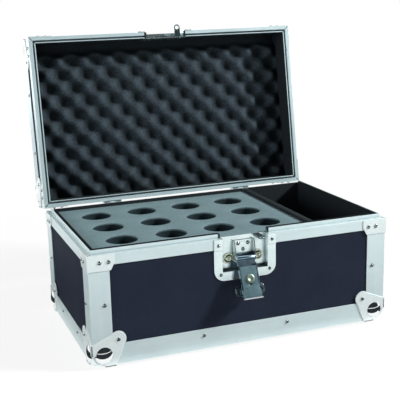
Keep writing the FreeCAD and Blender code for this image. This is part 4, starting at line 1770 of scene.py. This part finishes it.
@dataclass
class CarryingHandle:
    """The handle on the lid: a bent steel bail and a ribbed rubber grip.

    The grip's end is given by how far in from its radius and along from its end each point is,
    and a groove by its places in a rib's length.
    """

    rod: float = 3.5
    rod_sides: int = 14
    stub_end: float = 66.0
    arm_x: float = 52.2
    drop: float = 42.0
    upper_bend: float = 3.6
    lower_bend: float = 9.0
    bend_steps: int = 8
    grip_half: float = 39.0
    grip_radius: float = 9.0
    grip_sides: int = 28
    grip_end: Outline = ((2.0, 0.0), (0.5, 1.0), (0.0, 3.0))
    ribs: int = 9
    rib_margin: float = 6.0
    rib_depth: float = 1.1
    groove: tuple[float, ...] = (0.0, 0.2, 0.35, 0.55)

    def build(self, finishes: Finishes) -> None:
        """Makes the bail and the grip.

        Args:
            finishes: The finishes of the case.
        """
        self.bail(finishes)
        self.grip(finishes)

    def bail(self, finishes: Finishes) -> None:
        """Makes one half of the bail by pushing and bending a circle, and mirrors it.

        Args:
            finishes: The finishes of the case.
        """
        blank = Blank()
        mesh = blank.mesh
        start = Matrix.Translation((self.stub_end, 0, 0)) @ Matrix.Rotation(math.pi / 2, 4, "Y")
        bmesh.ops.create_circle(
            mesh, cap_ends=True, segments=self.rod_sides, radius=self.rod, matrix=start
        )
        upper, lower = self.upper_bend, self.lower_bend
        loop = self.push(blank, mesh.edges[:], (self.arm_x + upper - self.stub_end, 0, 0))
        loop = self.bend(blank, loop, (self.arm_x + upper, upper, 0), -90.0)
        loop = self.push(blank, loop, (0, self.drop - upper - lower, 0))
        loop = self.bend(blank, loop, (self.arm_x - lower, self.drop - lower, 0), 90.0)
        self.push(blank, loop, (lower - self.arm_x, 0, 0))
        blank.mirror("X")
        blank.move(mesh.verts, Matrix.Translation(SIZES.handle_pivot))
        name, slot = "bent_bail", "latch_steel"
        piece = blank.finish(name, Sit.HANDLE, "handle", slot, finishes.latch, Crease.TURNED)
        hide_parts("handle_bail")

    def push(
        self, blank: Blank, loop: list[bmesh.types.BMEdge], by: Sequence[float]
    ) -> list[bmesh.types.BMEdge]:
        """Pushes an open end straight on.

        Args:
            blank: The bail.
            loop: The edges of its open end.
            by: How far.

        Returns:
            The edges of the new end.
        """
        made = bmesh.ops.extrude_edge_only(blank.mesh, edges=loop)["geom"]
        ends = only(bmesh.types.BMVert, made)
        bmesh.ops.translate(blank.mesh, verts=ends, vec=by)
        return [e for e in only(bmesh.types.BMEdge, made) if all(v in ends for v in e.verts)]

    def bend(
        self, blank: Blank, loop: list[bmesh.types.BMEdge], centre: Sequence[float], degrees: float
    ) -> list[bmesh.types.BMEdge]:
        """Bends an open end round a centre.

        Args:
            blank: The bail.
            loop: The edges of its open end.
            centre: What it bends round.
            degrees: The angle.

        Returns:
            The edges of the new end.
        """
        made = bmesh.ops.spin(
            blank.mesh,
            geom=list(dict.fromkeys(v for edge in loop for v in edge.verts)) + loop,
            cent=centre,
            axis=AXES["Z"],
            angle=math.radians(degrees),
            steps=self.bend_steps,
            use_merge=False,
        )
        return only(bmesh.types.BMEdge, made["geom_last"])

    def grip(self, finishes: Finishes) -> None:
        """Makes the grip by turning a ribbed outline.

        Args:
            finishes: The finishes of the case.
        """
        radius, half = self.grip_radius, self.grip_half
        bottom = radius - self.rib_depth
        end = [(radius - inward, along - half) for inward, along in self.grip_end]
        outline = [(self.rod, -half)] + end
        pitch = 2 * (half - self.rib_margin) / self.ribs
        for rib in range(self.ribs):
            start = self.rib_margin - half + rib * pitch
            places = (start + share * pitch for share in self.groove)
            outline += zip((radius, bottom, bottom, radius), places)
        outline += [(out, -along) for out, along in reversed(end)]
        outline += [(self.rod, half), (self.rod, -half)]
        blank = Blank()
        x, y, z = SIZES.handle_pivot
        place = Matrix.Translation((x, y + self.drop, z)) @ Matrix.Rotation(math.pi / 2, 4, "Y")
        blank.revolve(outline, self.grip_sides, place)
        name, slot = "ribbed_grip", "grip"
        piece = blank.finish(name, Sit.HANDLE, "handle", slot, finishes.rubber, Crease.TURNED)
        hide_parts("handle_grip")


@dataclass
class FrameDress:
    """Puts finishes on the frame's own nodes, and rounds the edges of the metal."""

    bar_round: float = 0.4
    plate_round: float = 0.3
    latch_round: float = 0.25
    round_segments: int = 2
    crisp: float = 35.0
    weld: float = 0.01

    def build(self, finishes: Finishes) -> None:
        """Dresses every node that the frame has.

        Args:
            finishes: The finishes of the case.
        """
        rounds = {
            "aluminium": self.bar_round,
            "brace_steel": self.plate_round,
            "dish_steel": self.plate_round,
            "latch_steel": self.latch_round,
        }
        for part in frame["record"]["subparts"]:
            node, slot = part["node"], part["material_slot"]
            piece = frame["nodes"][node]
            piece.data.materials.clear()
            piece.data.materials.append(finishes.of_slot(slot, node))
            if slot in rounds:
                self.soften(piece, rounds[slot])
        LOG.info("dressed %d frame nodes", len(frame["nodes"]))

    def soften(self, piece: bpy.types.Object, width: float) -> None:
        """Rounds a node's edges without changing its mesh.

        Args:
            piece: The node.
            width: How wide the round is.
        """
        piece.modifiers.new("joined_faces", "WELD").merge_threshold = self.weld * MM
        bevel = piece.modifiers.new("edge_round", "BEVEL")
        bevel.width = width * MM
        bevel.segments = self.round_segments
        bevel.limit_method = "ANGLE"
        bevel.angle_limit = math.radians(self.crisp)
        bevel.harden_normals = True


@dataclass
class Softbox:
    """A soft lamp that points at the case, in metres and watts."""

    name: str
    place: Point
    size: float
    power: float
    target: Point = (0.0, 0.05, 0.18)

    def build(self) -> None:
        """Hangs the lamp."""
        data = bpy.data.lights.new(self.name, "AREA")
        data.shape = "SQUARE"
        data.size = self.size
        data.energy = self.power
        lamp = bpy.data.objects.new(self.name, data)
        aim = (Vector(self.target) - Vector(self.place)).to_track_quat("-Z", "Y")
        lamp.matrix_world = Matrix.Translation(self.place) @ aim.to_matrix().to_4x4()
        bpy.context.scene.collection.objects.link(lamp)


@dataclass
class Studio:
    """The paper floor, the lamps, the dark room in front and the camera, in metres."""

    camera_place: Point = (-0.4760, -1.2281, 0.5065)
    camera_turn: float = 20.18
    camera_dip: float = 13.76
    camera_roll: float = 1.556
    sensor: float = 36.0
    lens: float = 78.35
    shift: Span = (0.0136, 0.00705)
    floor_size: float = 4.5
    # Where the painted floor shadow seen in reflections starts and ends, out from the case.
    mat_near: float = 0.020
    mat_far: float = 0.260
    room_radius: float = 4.0
    room_foot: float = 0.02
    room_top: float = 3.85
    room_edge: Point = (-0.2, -0.56, 0.0)
    room_back: Point = (0.34, 0.94, 0.0)
    room_sides: int = 48
    world_fill: float = 0.12
    lamps: tuple[Softbox, ...] = (
        Softbox("key_softbox", (3.60, -1.98, 2.66), 0.65, 305.0),
        Softbox("side_softbox", (-2.2, -0.35, 0.7), 0.9, 24.0),
        Softbox("top_softbox", (0.0, 0.2, 2.3), 1.6, 5.0),
        Softbox("rear_softbox", (-0.5, 2.4, 0.6), 1.2, 12.0),
    )

    def build(self, finishes: Finishes) -> None:
        """Makes the studio.

        Args:
            finishes: The finishes of the case and of the studio.
        """
        self.floor(finishes)
        self.mat(finishes)
        self.room(finishes)
        self.world()
        for lamp in self.lamps:
            lamp.build()
        self.camera()
        bpy.context.scene.view_settings.view_transform = "Standard"

    def keep(self, blank: Blank, name: str, material: bpy.types.Material) -> bpy.types.Object:
        """Makes a shape a piece of the studio.

        Args:
            blank: The shape, in metres.
            name: Its name.
            material: Its finish.

        Returns:
            The object.
        """
        data = bpy.data.meshes.new(name)
        blank.mesh.to_mesh(data)
        blank.mesh.free()
        data.materials.append(material)
        thing = bpy.data.objects.new(name, data)
        bpy.context.scene.collection.objects.link(thing)
        return thing

    def floor(self, finishes: Finishes) -> None:
        """Lays the paper.

        Args:
            finishes: The finishes of the case and of the studio.
        """
        blank = Blank()
        bmesh.ops.create_grid(blank.mesh, x_segments=2, y_segments=2, size=self.floor_size)
        self.keep(blank, "paper_floor", finishes.paper)

    def mat(self, finishes: Finishes) -> None:
        """Lays a dim border on the paper round the case, which only reflections see: a painted shadow of
        the case on the floor, for the metal to reflect.

        Args:
            finishes: The finishes of the case and of the studio.
        """
        blank = Blank()
        mesh = blank.mesh
        bmesh.ops.create_grid(mesh, x_segments=1, y_segments=1, size=1.0)
        reach_x, reach_y = (half * MM + self.mat_far for half in (SIZES.half_width, SIZES.half_depth))
        blank.move(mesh.verts, Matrix.Translation((0, 0, MM)) @ Matrix.Diagonal((reach_x, reach_y, 1, 1)))
        middle = mesh.faces[:]
        bmesh.ops.inset_individual(
            mesh, faces=middle, thickness=self.mat_far - self.mat_near, use_even_offset=True
        )
        bmesh.ops.delete(mesh, geom=middle, context="FACES_ONLY")
        self.only_reflected(self.keep(blank, "dim_mat", finishes.dim))

    def only_reflected(self, thing: bpy.types.Object) -> None:
        """Hides a piece of the studio from everything but reflections.

        Args:
            thing: The piece.
        """
        thing.visible_camera = False
        thing.visible_diffuse = False
        thing.visible_shadow = False
        thing.visible_transmission = False

    def room(self, finishes: Finishes) -> None:
        """Stands a dim room behind the camera, which only reflections see.

        Args:
            finishes: The finishes of the case and of the studio.
        """
        blank = Blank()
        sides = self.room_sides
        bmesh.ops.create_uvsphere(
            blank.mesh, u_segments=sides, v_segments=sides // 2, radius=self.room_radius
        )
        up = AXES["Z"]
        cuts = (
            (up * self.room_foot, -up),
            (Vector(self.room_edge), Vector(self.room_back)),
            (up * self.room_top, up),
        )
        for point, normal in cuts:
            blank.cut(set(), point, normal, True)
        self.only_reflected(self.keep(blank, "dim_room", finishes.dim))

    def world(self) -> None:
        """Lights the world: white to the eye, softer as stray light."""
        world = bpy.data.worlds.new("studio_world")
        bpy.context.scene.world = world
        world.use_nodes = True
        paint = Paint(world.node_tree)
        strength = self.world_fill + (1.0 - self.world_fill) * seen_ray(paint)
        sky = paint.node("ShaderNodeBackground", {}, {"Color": (1, 1, 1, 1), "Strength": strength})
        paint.node("ShaderNodeOutputWorld", {}, {"Surface": sky})

    def camera(self) -> None:
        """Sets the camera at the photograph's viewing angle."""
        angles = (self.camera_turn, self.camera_dip, self.camera_roll)
        turn, dip, roll = (math.radians(angle) for angle in angles)
        ahead = Vector((math.sin(turn) * math.cos(dip), math.cos(turn) * math.cos(dip), -math.sin(dip)))
        right = Vector((math.cos(turn), -math.sin(turn), 0.0))
        down = ahead.cross(right)
        across = math.cos(roll) * right + math.sin(roll) * down
        upright = math.sin(roll) * right - math.cos(roll) * down
        data = bpy.data.cameras.new("camera")
        data.sensor_width = self.sensor
        data.lens = self.lens
        data.shift_x, data.shift_y = self.shift
        camera = bpy.data.objects.new("camera", data)
        axes = Matrix((across, upright, -ahead)).transposed().to_4x4()
        camera.matrix_world = Matrix.Translation(self.camera_place) @ axes
        bpy.context.scene.collection.objects.link(camera)
        bpy.context.scene.camera = camera


def main() -> None:
    """Builds the case's looks in order."""
    logging.basicConfig(level=logging.INFO, format="%(message)s")
    finishes = Finishes()
    FrameDress().build(finishes)
    BlockFoam().build(finishes)
    EggCrateFoam().build(finishes)
    WallLining().build(finishes)
    NotchShadowPads().build(finishes)
    MitreSeams().build(finishes)
    BallCorners().build(finishes)
    rivets = Rivets()
    EdgeRivets().place(rivets)
    rivets.build(finishes)
    LatchDetails().build(finishes)
    CarryingHandle().build(finishes)
    Studio().build(finishes)


if __name__ == "__main__":
    main()
